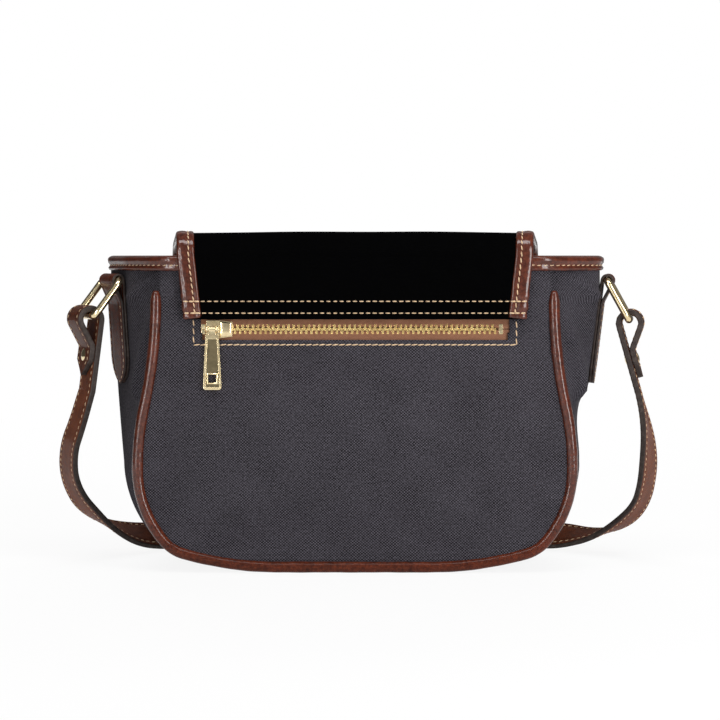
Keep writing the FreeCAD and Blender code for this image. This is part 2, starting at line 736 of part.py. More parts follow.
def trim_outside(layer, inset):
    """Cuts a layer of the flap to its edge."""
    reach = "(flap_front_width / 2 + 2 * overrun)"
    below = drop_outline(inset) + [Corner(f"-{reach}", FOLD), Corner(f"-{reach}", "flap_low - overrun"),
                                   Corner(reach, "flap_low - overrun"), Corner(reach, FOLD)]
    pocket(layer, draw(sketch(layer, "below", "XZ_Plane"), below), "4 * body_depth")
    back, front = f"-{FLAP_BACK} - overrun", f"{FLAP_FRONT} + overrun"
    for name, side in (("right", "1"), ("left", "-1")):
        above = [Corner(arch_edge(inset, side, back), back), Corner(f"{side} * {reach}", back),
                 Corner(f"{side} * {reach}", front), Corner(arch_edge(inset, side, front), front)]
        pocket(layer, draw(sketch(layer, name, "XY_Plane", FOLD), above), RIDGE, both=False)


def flap_layer(label, outer, inner, inset):
    """One layer of the moving flap."""
    layer = body(label)
    drawing = draw(sketch(layer, "side", "YZ_Plane"), arch_profile(outer, inner))
    pad(layer, drawing, "flap_front_width + 2 * overrun", both=True)
    trim_outside(layer, inset)
    return layer


def make_flap():
    """Cloth and lining of the flap, with leather folded round their edge."""
    cloth = flap_layer("flap_panel", "0", "flap_cloth", "trim_leather")
    backing = flap_layer("flap_lining", "flap_cloth + seam_gap", SHEET_THICK, "trim_leather")
    rim = flap_layer("flap_rim", "-trim_leather", f"{SHEET_THICK} + trim_leather", "0")
    del NODES["flap_rim"]
    pocket(rim, draw(sketch(rim, "within", "XZ_Plane"), drop_outline("flap_band")), "4 * body_depth")
    back, front = f"-{FLAP_BACK} - overrun", f"{FLAP_FRONT} + overrun"
    inside = [Corner(arch_edge("flap_band", side, depth), depth)
              for side, depth in (("-1", back), ("1", back), ("1", front), ("-1", front))]
    pocket(rim, draw(sketch(rim, "inside", "XY_Plane", FOLD), inside), RIDGE, both=False)
    node(cut("flap_binding", rim, cloth, backing), "flap_binding")


def make_anchor():
    """Back part of the flap, sewn to the back panel, with leather down both sides."""
    top = f"({FOLD} - fold_gap)"

    def edge(inset, level):
        share = f"(({level}) - {ANCHOR_LOW}) / ({FOLD} - {ANCHOR_LOW})"
        return f"(anchor_width / 2 + (flap_back_width - anchor_width) / 2 * {share} - {inset})"

    anchor = body("flap_anchor")
    outline = [Corner(f"{side} * {edge('trim_leather', level)}", level)
               for side, level in (("-1", ANCHOR_LOW), ("1", ANCHOR_LOW), ("1", top), ("-1", top))]
    pad(anchor, draw(sketch(anchor, "outline", "XZ_Plane"), outline), SHEET_THICK)
    place(anchor, y=f"-{ANCHOR_FACE}")
    low = f"({ANCHOR_LOW} - anchor_band_drop)"
    for label, side in (("anchor_binding_left", "-1"), ("anchor_binding_right", "1")):
        strip = body(f"{label}_strip")
        del NODES[f"{label}_strip"]
        outline = [Corner(f"{side} * {edge(inset, level)}", level)
                   for inset, level in (("0", low), ("flap_band", low), ("flap_band", top), ("0", top))]
        pad(strip, draw(sketch(strip, "outline", "XZ_Plane"), outline), f"{SHEET_THICK} + trim_leather")
        place(strip, y=f"-{ANCHOR_FACE}")
        node(cut(label, strip, anchor), label)


# Magnetic snap

def make_snap():
    """Cup and ring magnet on the front panel, stud with a nub on the flap."""
    wall = "snap_radius - cup_wall"
    cup = turned("snap_cup", [
        Corner("0", "-panel_thickness"), Corner("cup_post", "-panel_thickness"), Corner("cup_post", "0"),
        Corner("snap_radius", "0"), Corner("snap_radius", "cup_height"), Corner(wall, "cup_height"),
        Corner(wall, "cup_height - magnet_height"), Corner("0", "cup_height - magnet_height")])
    outward = Rotation(X_AXIS, -90)
    place(cup, y="body_depth / 2", z="snap_height", rotation=outward)
    magnet = turned("snap_magnet", rectangle("cup_bore", f"{wall} - pin_clear", "0", "magnet_height"))
    place(magnet, y="body_depth / 2 + cup_height - magnet_height", z="snap_height", rotation=outward)
    stud = turned("snap_stud", [
        Corner("0", "0"), Corner("snap_radius", "0"), Corner("snap_radius", "stud_height"),
        Corner("stud_nub", "stud_height"), Corner("stud_nub", "stud_height + magnet_height"),
        Corner("0", "stud_height + magnet_height")])
    place(stud, y=FLAP_FACE, z="snap_height", rotation=Rotation(X_AXIS, 90))


# Tabs, rings and strap

TAB_BORE = "(ring_wire / 2 + tab_clear)"
ARM_STEP_COUNT = 9
TURN_SHARE, FLIP_SHARE = 0.4, 0.7


def fold(bore, leather, throat, inner_tail, outer_tail):
    """Edge and eye of a leather end folded over a bar: the outer leg closes on the straight inner one."""
    bend = f"(2 * atan({bore} / {throat}))"
    outside = f"({bore} + {leather})"
    slip = f"(({outside} * cos({bend}) + {bore} - {leather}) / sin({bend}))"
    edge = [Corner(f"-{outside}", f"-({inner_tail})"), Corner(f"-{outside}", "0", outside, -1),
            Corner("0", outside, outside, -1),
            Corner(f"{outside} * cos({bend})", f"-{outside} * sin({bend})"),
            Corner(f"{leather} - {bore}", f"-{outside} * sin({bend}) - {slip} * cos({bend})"),
            Corner(f"{leather} - {bore}", f"-({outer_tail})"), Corner(f"-{bore}", f"-({outer_tail})"),
            Corner(f"-{bore}", f"-({inner_tail})")]
    if inner_tail == outer_tail:
        edge = edge[:-2]
    eye = [Corner(f"-{bore}", f"-{throat}"), Corner(f"-{bore}", "0", bore, -1), Corner("0", bore, bore, -1),
           Corner(f"{bore} * cos({bend})", f"-{bore} * sin({bend})")]
    return edge, eye


def side_frame(side):
    """Facing of the gusset's land on one side, its lean, and the place of the ring's bar in the tab."""
    yaw = YAWS[side]
    slope = size(f"({APEX_HALF[side]} - body_width / 2 - side_bulge) / {SHOULDER}")
    facing = Rotation(Z_AXIS, -size(yaw) if side == RIGHT else 180 + size(yaw))
    lean = math.degrees(math.atan(slope * math.cos(math.radians(size(yaw)))))
    across = size("body_width / 2 + side_bulge") + slope * size(f"{PIVOT_LEVEL} - widest_height")
    stood = facing * Rotation(Y_AXIS, lean)
    out = size(f"seam_gap + tab_leather + {TAB_BORE}")
    return facing, stood, Vector(side * across, 0, size(PIVOT_LEVEL)) + stood.multVec(X_AXIS) * out


def make_tab(label, side):
    """Leather tongue folded over the ring's bar and sewn to the gusset."""
    tab = body(label)
    edge, eye = fold(TAB_BORE, "tab_leather", "tab_throat", "tab_length", "tab_length")
    pad(tab, draw(draw(sketch(tab, "fold", "XZ_Plane"), edge), eye), "tab_width", both=True)
    arc = "(tab_width / 4 + tab_tip * tab_tip / tab_width)"
    shoulder = "tab_tip - tab_length"
    outside = [Corner("tab_width / 2", shoulder, arc, -1), Corner("0", "-tab_length", arc, -1),
               Corner("-tab_width / 2", shoulder), Corner("-tab_width", shoulder),
               Corner("-tab_width", "-tab_length - overrun"), Corner("tab_width", "-tab_length - overrun"),
               Corner("tab_width", shoulder)]
    pocket(tab, draw(sketch(tab, "tip", "YZ_Plane"), outside), "overrun")
    _, stood, pivot = side_frame(side)
    tab.Placement = Placement(pivot, stood)


def ring_place(side):
    """Place of a ring, at the middle of its upper bar."""
    facing, _, pivot = side_frame(side)
    return Placement(pivot, facing * Rotation(Y_AXIS, -size(RING_LEANS[side])))


def make_ring(label, side):
    """Rectangular wire ring with round corners, hung from its upper bar."""
    ring = body(label)
    half, bend = "((ring_inner + ring_wire) / 2)", "ring_bend"
    path = [Corner(f"-{half}", f"-{bend}", bend, -1), Corner(f"{bend} - {half}", "0"),
            Corner(f"{half} - {bend}", "0", bend, -1), Corner(half, f"-{bend}"),
            Corner(half, f"{bend} - ring_length", bend, -1), Corner(f"{half} - {bend}", "-ring_length"),
            Corner(f"{bend} - {half}", "-ring_length", bend, -1),
            Corner(f"-{half}", f"{bend} - ring_length")]
    spine = draw(sketch(ring, "path", "YZ_Plane"), path)
    wire_round = circle(sketch(ring, "wire", "XY_Plane", f"-{bend}"), "ring_wire / 2", up=f"-{half}")
    pipe = ring.newObject("PartDesign::AdditivePipe", f"{label}_pipe")
    pipe.Profile = wire_round
    pipe.Spine = spine
    ring.Placement = ring_place(side)


def loop_place(side):
    """Place of the strap's folded end, which hangs from the ring's lower bar."""
    facing, _, _ = side_frame(side)
    stood = facing * Rotation(Y_AXIS, -size(ARM_LEANS[side]))
    bar = ring_place(side).multVec(Vector(0, 0, -size("ring_length")))
    return Placement(bar - stood.multVec(Z_AXIS) * size("loop_bore - ring_wire / 2 - loop_clear"), stood)


def strap_end(side):
    """Folded end of the strap with its pointed tail and the rivet's hole."""
    half, tail, tip = size("strap_width / 2"), size("loop_tail"), size("loop_tip")
    edge, eye = fold("loop_bore", "strap_thickness", "loop_throat", "loop_tail + loop_tip", "loop_tail")
    face = Part.Face([wire(edge, -half), wire(eye, -half)])
    end = face.extrude(Vector(0, 2 * half, 0))
    for sign in (LEFT, RIGHT):
        places = ((0, -tail), (sign * half, -tail), (sign * half, tip - tail))
        points = [Vector(-size("loop_bore"), across, up) for across, up in places]
        wedge = Part.Face(Part.makePolygon(points + points[:1])).extrude(X_AXIS * size("strap_thickness"))
        end = end.cut(wedge)
    hole = Part.makeCylinder(size("rivet_post + pin_clear"), size("overrun"),
                             Vector(-size("loop_bore + overrun / 2"), 0, -size("rivet_drop")), X_AXIS)
    end = end.cut(hole)
    end.Placement = loop_place(side)
    return end


def smooth(share):
    """Eases from 0 to 1."""
    return share * share * (3 - 2 * share)


def arm_path(side):
    """Middle line of one arm, from the folded end down to the floor, with its facing at each station."""
    loop = loop_place(side)
    start = loop.multVec(Vector(-size("loop_bore + strap_thickness / 2"), 0, -size("loop_tail + loop_tip")))
    down = loop.Rotation.multVec(-Z_AXIS)
    bend = size(ARM_BENDS[side])
    lying = "strap_width / 2 * sin(strap_tilt_angle) + strap_thickness / 2 * cos(strap_tilt_angle)"
    floor = size(f"{lying} + floor_clear")
    widest = Vector(side * size(ARM_REACHES[side]), 0, floor + bend)
    pull = (start - widest).Length / 3
    knots = [start, start + down * pull, widest + Z_AXIS * pull, widest]
    knots = [Vector(knot.x, 0, knot.z) for knot in knots]
    flat = []
    for step in range(ARM_STEP_COUNT):
        share = step / ARM_STEP_COUNT
        weights = [math.comb(3, power) * share ** power * (1 - share) ** (3 - power) for power in range(4)]
        flat.append(sum((knot * weight for knot, weight in zip(knots, weights)), Vector()))
    for step in range(ARM_STEP_COUNT + 1):
        angle = math.pi / 2 * step / ARM_STEP_COUNT
        flat.append(widest + Vector(-side * bend * (1 - math.cos(angle)), 0, -bend * math.sin(angle)))
    lengths = [0]
    for before, after in zip(flat, flat[1:]):
        lengths.append(lengths[-1] + (after - before).Length)
    away = size("body_depth / 2 + strap_standoff")
    yaw, turn, tilt = size(YAWS[side]), size("arm_turn_angle"), size("strap_tilt_angle")
    stations = []
    for point, length in zip(flat, lengths):
        share = length / lengths[-1]
        point = Vector(point.x, start.y + (away - start.y) * smooth(share), point.z)
        turned_out = smooth(min(share / TURN_SHARE, 1))
        laid_down = smooth(max(share - FLIP_SHARE, 0) / (1 - FLIP_SHARE))
        stations.append((point, yaw + (turn - yaw) * turned_out - (turn + tilt) * laid_down))
    return stations


def strap_section(point, along, twist, side):
    """The strap's cut across one station, its far edge turned outwards by the twist."""
    across = (Y_AXIS - along * along.dot(Y_AXIS)).normalize()
    out = (along.cross(across) * side).normalize()
    turn = math.radians(twist)
    width = across * math.cos(turn) + out * math.sin(turn)
    thick = along.cross(width).normalize() * side
    half, deep = width * size("strap_width / 2"), thick * size("strap_thickness / 2")
    corners = [point - half - deep, point + half - deep, point + half + deep, point - half + deep]
    return Part.makePolygon(corners + corners[:1])


def end_section(side):
    """The strap's cut where the folded end stops."""
    inner, outer = -size("loop_bore + strap_thickness"), -size("loop_bore")
    half, low = size("strap_width / 2"), -size("loop_tail + loop_tip")
    near, far = (-half, half) if side == RIGHT else (half, -half)
    places = ((inner, near), (inner, far), (outer, far), (outer, near))
    corners = [loop_place(side).multVec(Vector(deep, across, low)) for deep, across in places]
    return Part.makePolygon(corners + corners[:1])


def make_strap():
    """Leather strap from ring to ring, resting on the floor in front of the bag."""
    sections, route = [], []
    for side in (RIGHT, LEFT):
        stations = arm_path(side)
        half = [end_section(side)]
        points = [point for point, _ in stations]
        ahead = points[2:] + [points[-1] - X_AXIS * side * size(ARM_BENDS[side])]
        for before, after, (point, twist) in zip(points, ahead, stations[1:]):
            along = X_AXIS * -side if point == points[-1] else (after - before).normalize()
            half.append(strap_section(point, along, twist, side))
        sections += half if side == RIGHT else half[::-1]
        route += points if side == RIGHT else points[::-1]
    ribbon = Part.makeLoft(sections, True, True)
    strap = ribbon.fuse([strap_end(RIGHT), strap_end(LEFT)]).removeSplitter()
    solid("strap", strap)
    length = sum((after - before).Length for before, after in zip(route, route[1:]))
    print(f"strap {length:.0f} mm between its folded ends")
    for label, side in (("left_rivet", LEFT), ("right_rivet", RIGHT)):
        make_rivet(label, side)


def make_rivet(label, side):
    """Rivet with a domed cap on each side of the doubled strap."""
    grip = "strap_thickness"
    dome = "((rivet_cap * rivet_cap + rivet_height * rivet_height) / (2 * rivet_height))"
    rivet = turned(label, [
        Corner("0", f"-{grip} - rivet_height", dome, 1), Corner("rivet_cap", f"-{grip}"),
        Corner("rivet_post", f"-{grip}"), Corner("rivet_post", grip),
        Corner("rivet_cap", grip, dome, 1), Corner("0", f"{grip} + rivet_height")])
    seat = Placement(Vector(-size("loop_bore"), 0, -size("rivet_drop")), Rotation(Y_AXIS, 90))
    rivet.Placement = loop_place(side) * seat


def print_pivots():
    """Prints the places and directions that the moving pieces turn about."""
    for label, side in (("left", LEFT), ("right", RIGHT)):
        ring = ring_place(side)
        bar = ring.multVec(Vector(0, 0, -size("ring_length")))
        print(label, "ring pivot", ring.Base, "bar", bar, "axis", ring.Rotation.multVec(Y_AXIS))
    print("fold", -size(f"{FLAP_BACK} + trim_leather"), size(f"{FOLD} - fold_gap / 2"))
    print("pin", -size(f"{SLIDER_HOME} + ear_shift"), size(f"{CHAIN} - {PIN_LIFT}"), size(ZIP_LEVEL))


def main():
    """Builds every sub-part, checks them and writes one file for each."""
    make_panels()
    make_gusset()
    make_lining()
    make_piping()
    make_mouth_binding()
    make_tapes()
    make_teeth()
    make_pouch()
    make_slider()
    make_pull()
    make_flap()
    make_anchor()
    make_snap()
    for name, side in (("left", LEFT), ("right", RIGHT)):
        make_tab(f"{name}_tab", side)
        make_ring(f"{name}_ring", side)
    make_strap()
    DOC.recompute()
    failed = [item.Label for item in DOC.Objects if {"Invalid", "Error"} & set(item.State)]
    broken = [label for label, item in NODES.items() if item.Shape.isNull() or not item.Shape.isValid()]
    if failed or broken:
        raise RuntimeError(f"failed {failed}, not valid {broken}")
    os.makedirs("parts", exist_ok=True)
    for label, item in NODES.items():
        item.Shape.exportStep(f"parts/{label}.step")
        box_now = item.Shape.BoundBox
        print(f"{label}: {len(item.Shape.Solids)} solids, {item.Shape.Volume:.1f} mm3, {box_now}")
    print_pivots()


main()
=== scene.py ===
import json
import logging
import math
from dataclasses import dataclass, field
from enum import Enum
from typing import Any, ClassVar, Iterable, Optional, Sequence

import bpy
import numpy as np
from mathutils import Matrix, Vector


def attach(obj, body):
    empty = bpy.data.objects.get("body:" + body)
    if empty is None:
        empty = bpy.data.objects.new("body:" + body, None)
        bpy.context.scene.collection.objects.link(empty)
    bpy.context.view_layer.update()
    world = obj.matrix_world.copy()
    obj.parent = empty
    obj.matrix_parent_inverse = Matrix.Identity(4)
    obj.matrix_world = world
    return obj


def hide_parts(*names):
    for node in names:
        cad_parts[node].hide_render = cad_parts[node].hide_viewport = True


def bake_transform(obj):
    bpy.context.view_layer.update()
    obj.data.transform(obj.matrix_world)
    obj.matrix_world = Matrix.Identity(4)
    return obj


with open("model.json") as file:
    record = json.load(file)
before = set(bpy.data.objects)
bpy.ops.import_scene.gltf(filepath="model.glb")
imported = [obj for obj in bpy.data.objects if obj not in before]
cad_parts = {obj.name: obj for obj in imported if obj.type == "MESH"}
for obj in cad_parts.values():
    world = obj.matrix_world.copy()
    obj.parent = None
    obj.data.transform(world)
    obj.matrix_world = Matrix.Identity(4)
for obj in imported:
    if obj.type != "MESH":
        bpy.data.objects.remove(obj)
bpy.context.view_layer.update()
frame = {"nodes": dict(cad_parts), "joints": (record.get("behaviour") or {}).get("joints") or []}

LOG = logging.getLogger("saddle_handbag")
MM = 0.001
WELD_REACH = 2e-6
EASE_ANGLE = math.radians(35)
Colour = tuple[float, float, float]
X_AXIS, Y_AXIS, Z_AXIS = np.eye(3)


class Side(Enum):
    """The two sides of the bag, as the sign of X."""

    LEFT = -1
    RIGHT = 1


class Weave(Enum):
    """Ways in which a cloth's threads cross."""

    DOT = "dot"
    TWILL = "twill"
    HERRINGBONE = "herringbone"


def srgb(red: int, green: int, blue: int) -> Colour:
    """Linear colour of a display colour.

    Args:
        red: Red, from 0 to 255.
        green: Green, from 0 to 255.
        blue: Blue, from 0 to 255.

    Returns:
        The colour as three linear values.
    """
    shares = [value / 255 for value in (red, green, blue)]
    linear = [s / 12.92 if s <= 0.04045 else ((s + 0.055) / 1.055) ** 2.4 for s in shares]
    return linear[0], linear[1], linear[2]


class NodeGraph:
    """The node tree of one material, with short calls for the nodes that the finishes share."""

    def __init__(self, name: str) -> None:
        """Starts a new material with a Principled shader.

        Args:
            name: The material's name.
        """
        self.material = bpy.data.materials.new(name)
        self.material.use_nodes = True
        self.tree = self.material.node_tree
        self.shader = self.tree.nodes["Principled BSDF"]

    def feed(self, socket: bpy.types.NodeSocket, value: Any) -> None:
        """Links a socket to another, or sets its constant.

        Args:
            socket: The input that is fed.
            value: An output socket, a number or a colour.
        """
        if isinstance(value, bpy.types.NodeSocket):
            self.tree.links.new(value, socket)
        elif socket.type == "RGBA" and len(value) == 3:
            socket.default_value = (*value, 1.0)
        else:
            socket.default_value = value

    def add(self, kind: str, sockets: Optional[dict[Any, Any]] = None, **settings: Any) -> bpy.types.Node:
        """Adds a node.

        Args:
            kind: Blender's name for the node's type.
            sockets: Values or links for its inputs, by name or number.
            settings: Values for its own properties.

        Returns:
            The node.
        """
        made = self.tree.nodes.new(kind)
        for key, value in settings.items():
            setattr(made, key, value)
        for key, value in (sockets or {}).items():
            self.feed(made.inputs[key], value)
        return made

    def dress(self, **values: Any) -> None:
        """Sets the shader's inputs, with underscores for the blanks in their names."""
        for key, value in values.items():
            self.feed(self.shader.inputs[key.replace("_", " ")], value)

    def millimetres(self, source: str) -> bpy.types.NodeSocket:
        """One of the texture coordinates, in millimetres."""
        sockets = {0: self.add("ShaderNodeTexCoord").outputs[source], "Scale": 1 / MM}
        return self.add("ShaderNodeVectorMath", sockets, operation="SCALE").outputs[0]

    def cloth_place(self) -> bpy.types.NodeSocket:
        """Place on the cut cloth or hide, in millimetres."""
        return self.millimetres("UV")

    def space(self) -> bpy.types.NodeSocket:
        """Place in the object's own frame, in millimetres."""
        return self.millimetres("Object")

    def math(self, operation: str, first: Any, second: Any = 0.0) -> bpy.types.NodeSocket:
        """One sum of two values."""
        return self.add("ShaderNodeMath", {0: first, 1: second}, operation=operation).outputs[0]

    def noise(self, place: bpy.types.NodeSocket, grain: float, detail: float = 4.0) -> bpy.types.NodeSocket:
        """Soft noise whose spots measure about one grain, in millimetres."""
        sockets = {"Vector": place, "Scale": 1 / grain, "Detail": detail, "Roughness": 0.6}
        return self.add("ShaderNodeTexNoise", sockets).outputs[0]

    def cracks(self, place: bpy.types.NodeSocket, grain: float) -> bpy.types.NodeSocket:
        """Distance to the nearest crack of a cell pattern whose cells measure about one grain."""
        sockets = {"Vector": place, "Scale": 1 / grain}
        return self.add("ShaderNodeTexVoronoi", sockets, feature="DISTANCE_TO_EDGE").outputs["Distance"]

    def spread(self, value: Any, low: float, high: float, start: float = 0.0,
               end: float = 1.0) -> bpy.types.NodeSocket:
        """A value mapped from one range to another, and kept within it."""
        sockets = {"Value": value, 1: low, 2: high, 3: start, 4: end}
        return self.add("ShaderNodeMapRange", sockets).outputs[0]

    def mix(self, share: Any, first: Any, second: Any) -> bpy.types.NodeSocket:
        """A colour between two others."""
        sockets = {0: share, 6: first, 7: second}
        return self.add("ShaderNodeMix", sockets, data_type="RGBA").outputs[2]

    def bump(self, height: Any, depth: float) -> bpy.types.NodeSocket:
        """A normal from a height of 0 to 1 that stands for a depth in millimetres."""
        return self.add("ShaderNodeBump", {"Height": height, "Distance": depth * MM, "Strength": 1.0}).outputs[0]

    def threads(self, weave: Weave, pitch: float) -> bpy.types.NodeSocket:
        """Height of a cloth's threads.

        Args:
            weave: How the threads cross.
            pitch: Distance from thread to thread, in millimetres.

        Returns:
            A value from 0 to 1.
        """
        parts = self.add("ShaderNodeSeparateXYZ", {0: self.cloth_place()}).outputs
        across, along = (self.math("MULTIPLY", part, 2 * math.pi / pitch) for part in parts[:2])
        if weave is Weave.DOT:
            rows = self.math("SINE", self.math("MULTIPLY", along, 1.1))
            dots = self.spread(self.math("MULTIPLY", self.math("SINE", across), rows), -1.0, 1.0)
            return self.math("POWER", dots, 2.0)
        if weave is Weave.TWILL:
            height = self.math("SINE", self.math("ADD", across, along))
        else:
            folded = self.math("PINGPONG", across, 4 * math.pi)
            height = self.math("SINE", self.math("ADD", folded, along))
        return self.spread(height, -1.0, 1.0)


@dataclass(frozen=True)
class Finish:
    """A finish with a name; its material is made once."""

    name: str
    made: ClassVar[dict[str, bpy.types.Material]] = {}

    def material(self) -> bpy.types.Material:
        """The finish's material, painted the first time that it is asked for.

        Returns:
            The material.
        """
        if self.name not in self.made:
            graph = NodeGraph(self.name)
            self.paint(graph)
            self.made[self.name] = graph.material
        return self.made[self.name]

    def paint(self, graph: NodeGraph) -> None:
        """Draws the finish's nodes."""
        raise NotImplementedError


@dataclass(frozen=True)
class Cloth(Finish):
    """Woven cloth."""

    light: Colour
    dark: Colour
    weave: Weave
    pitch: float
    relief: float
    roughness: float
    sheen: float
    gloss: float
    contrast: float = 0.84
    thread_middle: float = 0.33

    def paint(self, graph: NodeGraph) -> None:
        """Threads, uneven dye and a soft sheen.

        Args:
            graph: The nodes of the finish's material.
        """
        place = graph.cloth_place()
        threads = graph.threads(self.weave, self.pitch)
        worn = graph.spread(graph.noise(place, 10, 2), 0.35, 0.65, 0.55, 1.15)
        raised = graph.math("SUBTRACT", threads, self.thread_middle)
        level = graph.math("ADD", graph.math("MULTIPLY", raised, worn), self.thread_middle)
        blotch = graph.spread(graph.noise(place, 28, 3), 0.3, 0.7, 0.0, 0.09)
        fuzz = graph.spread(graph.noise(place, 1.4, 3), 0.3, 0.7, -0.14, 0.14)
        share = graph.math("ADD", graph.math("MULTIPLY", level, self.contrast), graph.math("ADD", blotch, fuzz))
        graph.dress(Base_Color=graph.mix(share, self.dark, self.light), Roughness=self.roughness,
                    Sheen_Weight=self.sheen, Sheen_Roughness=0.5, Specular_IOR_Level=self.gloss,
                    Normal=graph.bump(graph.math("ADD", threads, fuzz), self.relief))


@dataclass(frozen=True)
class Leather(Finish):
    """Brown leather with a crackled, pulled-up grain."""

    light: Colour
    base: Colour
    dark: Colour
    grain: float = 1.7
    relief: float = 0.1
    roughness: float = 0.34
    coat: float = 0.85
    gloss: float = 0.06
    crease: float = 0.3
    coat_roughness: float = 0.1
    scuff_heights: tuple[float, float] = (6.0, 45.0)
    scuffed_share: float = 0.2

    def paint(self, graph: NodeGraph) -> None:
        """Mottled dye, fine cracks and paler heights under a creased, shiny coat that is scuffed near the floor.

        Args:
            graph: The nodes of the finish's material.
        """
        place = graph.space()
        cloud = graph.spread(graph.noise(place, 9, 5), 0.32, 0.68)
        mottle = graph.spread(graph.noise(place, 2.2, 6), 0.35, 0.7)
        crack = graph.spread(graph.cracks(place, self.grain), 0.0, 0.14)
        pores = graph.noise(place, 0.5, 2)
        creases = graph.add("ShaderNodeTexNoise", {"Vector": place, "Scale": 0.24, "Detail": 3.0}).outputs[0]
        dyed = graph.mix(cloud, self.dark, self.base)
        pulled = graph.mix(graph.math("MULTIPLY", mottle, 0.55), dyed, self.light)
        colour = graph.mix(graph.math("MULTIPLY", graph.math("SUBTRACT", 1.0, crack), 0.45), pulled, self.dark)
        height = graph.math("ADD", graph.math("MULTIPLY", crack, 0.6), graph.math("MULTIPLY", pores, 0.4))
        rough = graph.spread(mottle, 0.0, 1.0, self.roughness - 0.06, self.roughness + 0.12)
        up = graph.add("ShaderNodeSeparateXYZ", {0: place}).outputs[2]
        scuffed = graph.spread(up, *self.scuff_heights, self.scuffed_share * self.coat, self.coat)
        graph.dress(Base_Color=colour, Roughness=rough, Coat_Weight=scuffed, Coat_Roughness=self.coat_roughness,
                    Specular_IOR_Level=self.gloss, Normal=graph.bump(height, self.relief),
                    Coat_Normal=graph.bump(creases, self.crease))


@dataclass(frozen=True)
class EdgePaint(Finish):
    """Painted cut edge of leather."""

    colour: Colour
    worn: Colour

    def paint(self, graph: NodeGraph) -> None:
        """Thick paint, a little uneven and rubbed.

        Args:
            graph: The nodes of the finish's material.
        """
        place = graph.space()
        rubbed = graph.spread(graph.noise(place, 3, 4), 0.45, 0.75)
        graph.dress(Base_Color=graph.mix(rubbed, self.colour, self.worn), Roughness=0.48, Specular_IOR_Level=0.15,
                    Normal=graph.bump(graph.noise(place, 0.8, 3), 0.12))


@dataclass(frozen=True)
class Metal(Finish):
    """Plated metal."""

    colour: Colour
    tarnish: Colour
    roughness: float

    def paint(self, graph: NodeGraph) -> None:
        """Polish with faint scratches, and tarnish in soft patches.

        Args:
            graph: The nodes of the finish's material.
        """
        place = graph.space()
        patches = graph.spread(graph.noise(place, 6, 3), 0.42, 0.75, 0.0, 0.6)
        rub = graph.noise(place, 1.2, 3)
        graph.dress(Base_Color=graph.mix(patches, self.colour, self.tarnish), Metallic=1.0,
                    Roughness=graph.spread(rub, 0.3, 0.7, self.roughness * 0.8, self.roughness * 1.3),
                    Normal=graph.bump(rub, 0.0012))


@dataclass(frozen=True)
class Thread(Finish):
    """Twisted sewing thread."""

    light: Colour
    dark: Colour
    twist: float = 0.5

    def paint(self, graph: NodeGraph) -> None:
        """Strands that wind round the thread.

        Args:
            graph: The nodes of the finish's material.
        """
        parts = graph.add("ShaderNodeSeparateXYZ", {0: graph.cloth_place()}).outputs
        wound = graph.math("MULTIPLY", graph.math("ADD", parts[0], parts[1]), 2 * math.pi / self.twist)
        strand = graph.spread(graph.math("SINE", wound), -1, 1)
        graph.dress(Base_Color=graph.mix(strand, self.dark, self.light), Roughness=0.6, Sheen_Weight=0.2,
                    Normal=graph.bump(strand, 0.06))


class Finishes:
    """The finishes of this bag."""

    BODY_CLOTH = Cloth("dotted_charcoal_cloth", srgb(104, 100, 109), srgb(12, 10, 11), Weave.DOT, pitch=1.82,
                       relief=0.1, roughness=0.85, sheen=0.03, gloss=0.06, contrast=0.82)
    FLAP_CLOTH = Cloth("black_flap_cloth", srgb(5, 5, 6), srgb(1, 1, 1), Weave.TWILL, pitch=0.7,
                       relief=0.05, roughness=0.95, sheen=0.0, gloss=0.01)
    LINING = Cloth("dark_lining", srgb(52, 45, 44), srgb(24, 21, 21), Weave.TWILL, pitch=0.8,
                   relief=0.05, roughness=0.7, sheen=0.1, gloss=0.15)
    ZIP_TAPE = Cloth("brown_zip_tape", srgb(178, 128, 100), srgb(122, 82, 62), Weave.HERRINGBONE, pitch=0.9,
                     relief=0.1, roughness=0.8, sheen=0.05, gloss=0.1)
    TRIM = Leather("glossy_brown_leather", srgb(124, 60, 35), srgb(88, 36, 20), srgb(44, 15, 8))
    TAB = Leather("waxed_brown_leather", srgb(124, 62, 38), srgb(86, 36, 21), srgb(44, 16, 9),
                  roughness=0.42, coat=0.16, gloss=0.05, crease=0.1)
    STRAP = Leather("satin_brown_leather", srgb(138, 80, 53), srgb(110, 59, 37), srgb(74, 36, 20), grain=1.1,
                    relief=0.08, roughness=0.5, coat=0.12, gloss=0.05, crease=0.2)
    # The strap's inner face: the same brown leather as its outer face, painted darker to stand for the shade on the
    # run that lies under and behind the bag.
    STRAP_INNER_PAINTED_SHADE = Leather("strap_inner_leather_painted_shade", srgb(112, 62, 40), srgb(88, 45, 28), srgb(56, 26, 15), grain=1.1,
                           relief=0.08, roughness=0.46, coat=0.16, gloss=0.05, crease=0.2)
    EDGE = EdgePaint("dark_edge_paint", srgb(52, 44, 41), srgb(76, 66, 61))
    THREAD = Thread("cream_thread", srgb(242, 212, 172), srgb(200, 160, 118))
    GOLD = Metal("pale_gold_metal", srgb(240, 222, 180), srgb(214, 184, 130), roughness=0.17)
    BRONZE = Metal("dark_bronze", srgb(104, 94, 72), srgb(74, 66, 50), roughness=0.36)
    ZIP_METAL = Metal("zip_brass", srgb(248, 216, 148), srgb(204, 158, 96), roughness=0.2)
    STEEL = Metal("plated_steel", srgb(206, 198, 180), srgb(150, 140, 120), roughness=0.28)


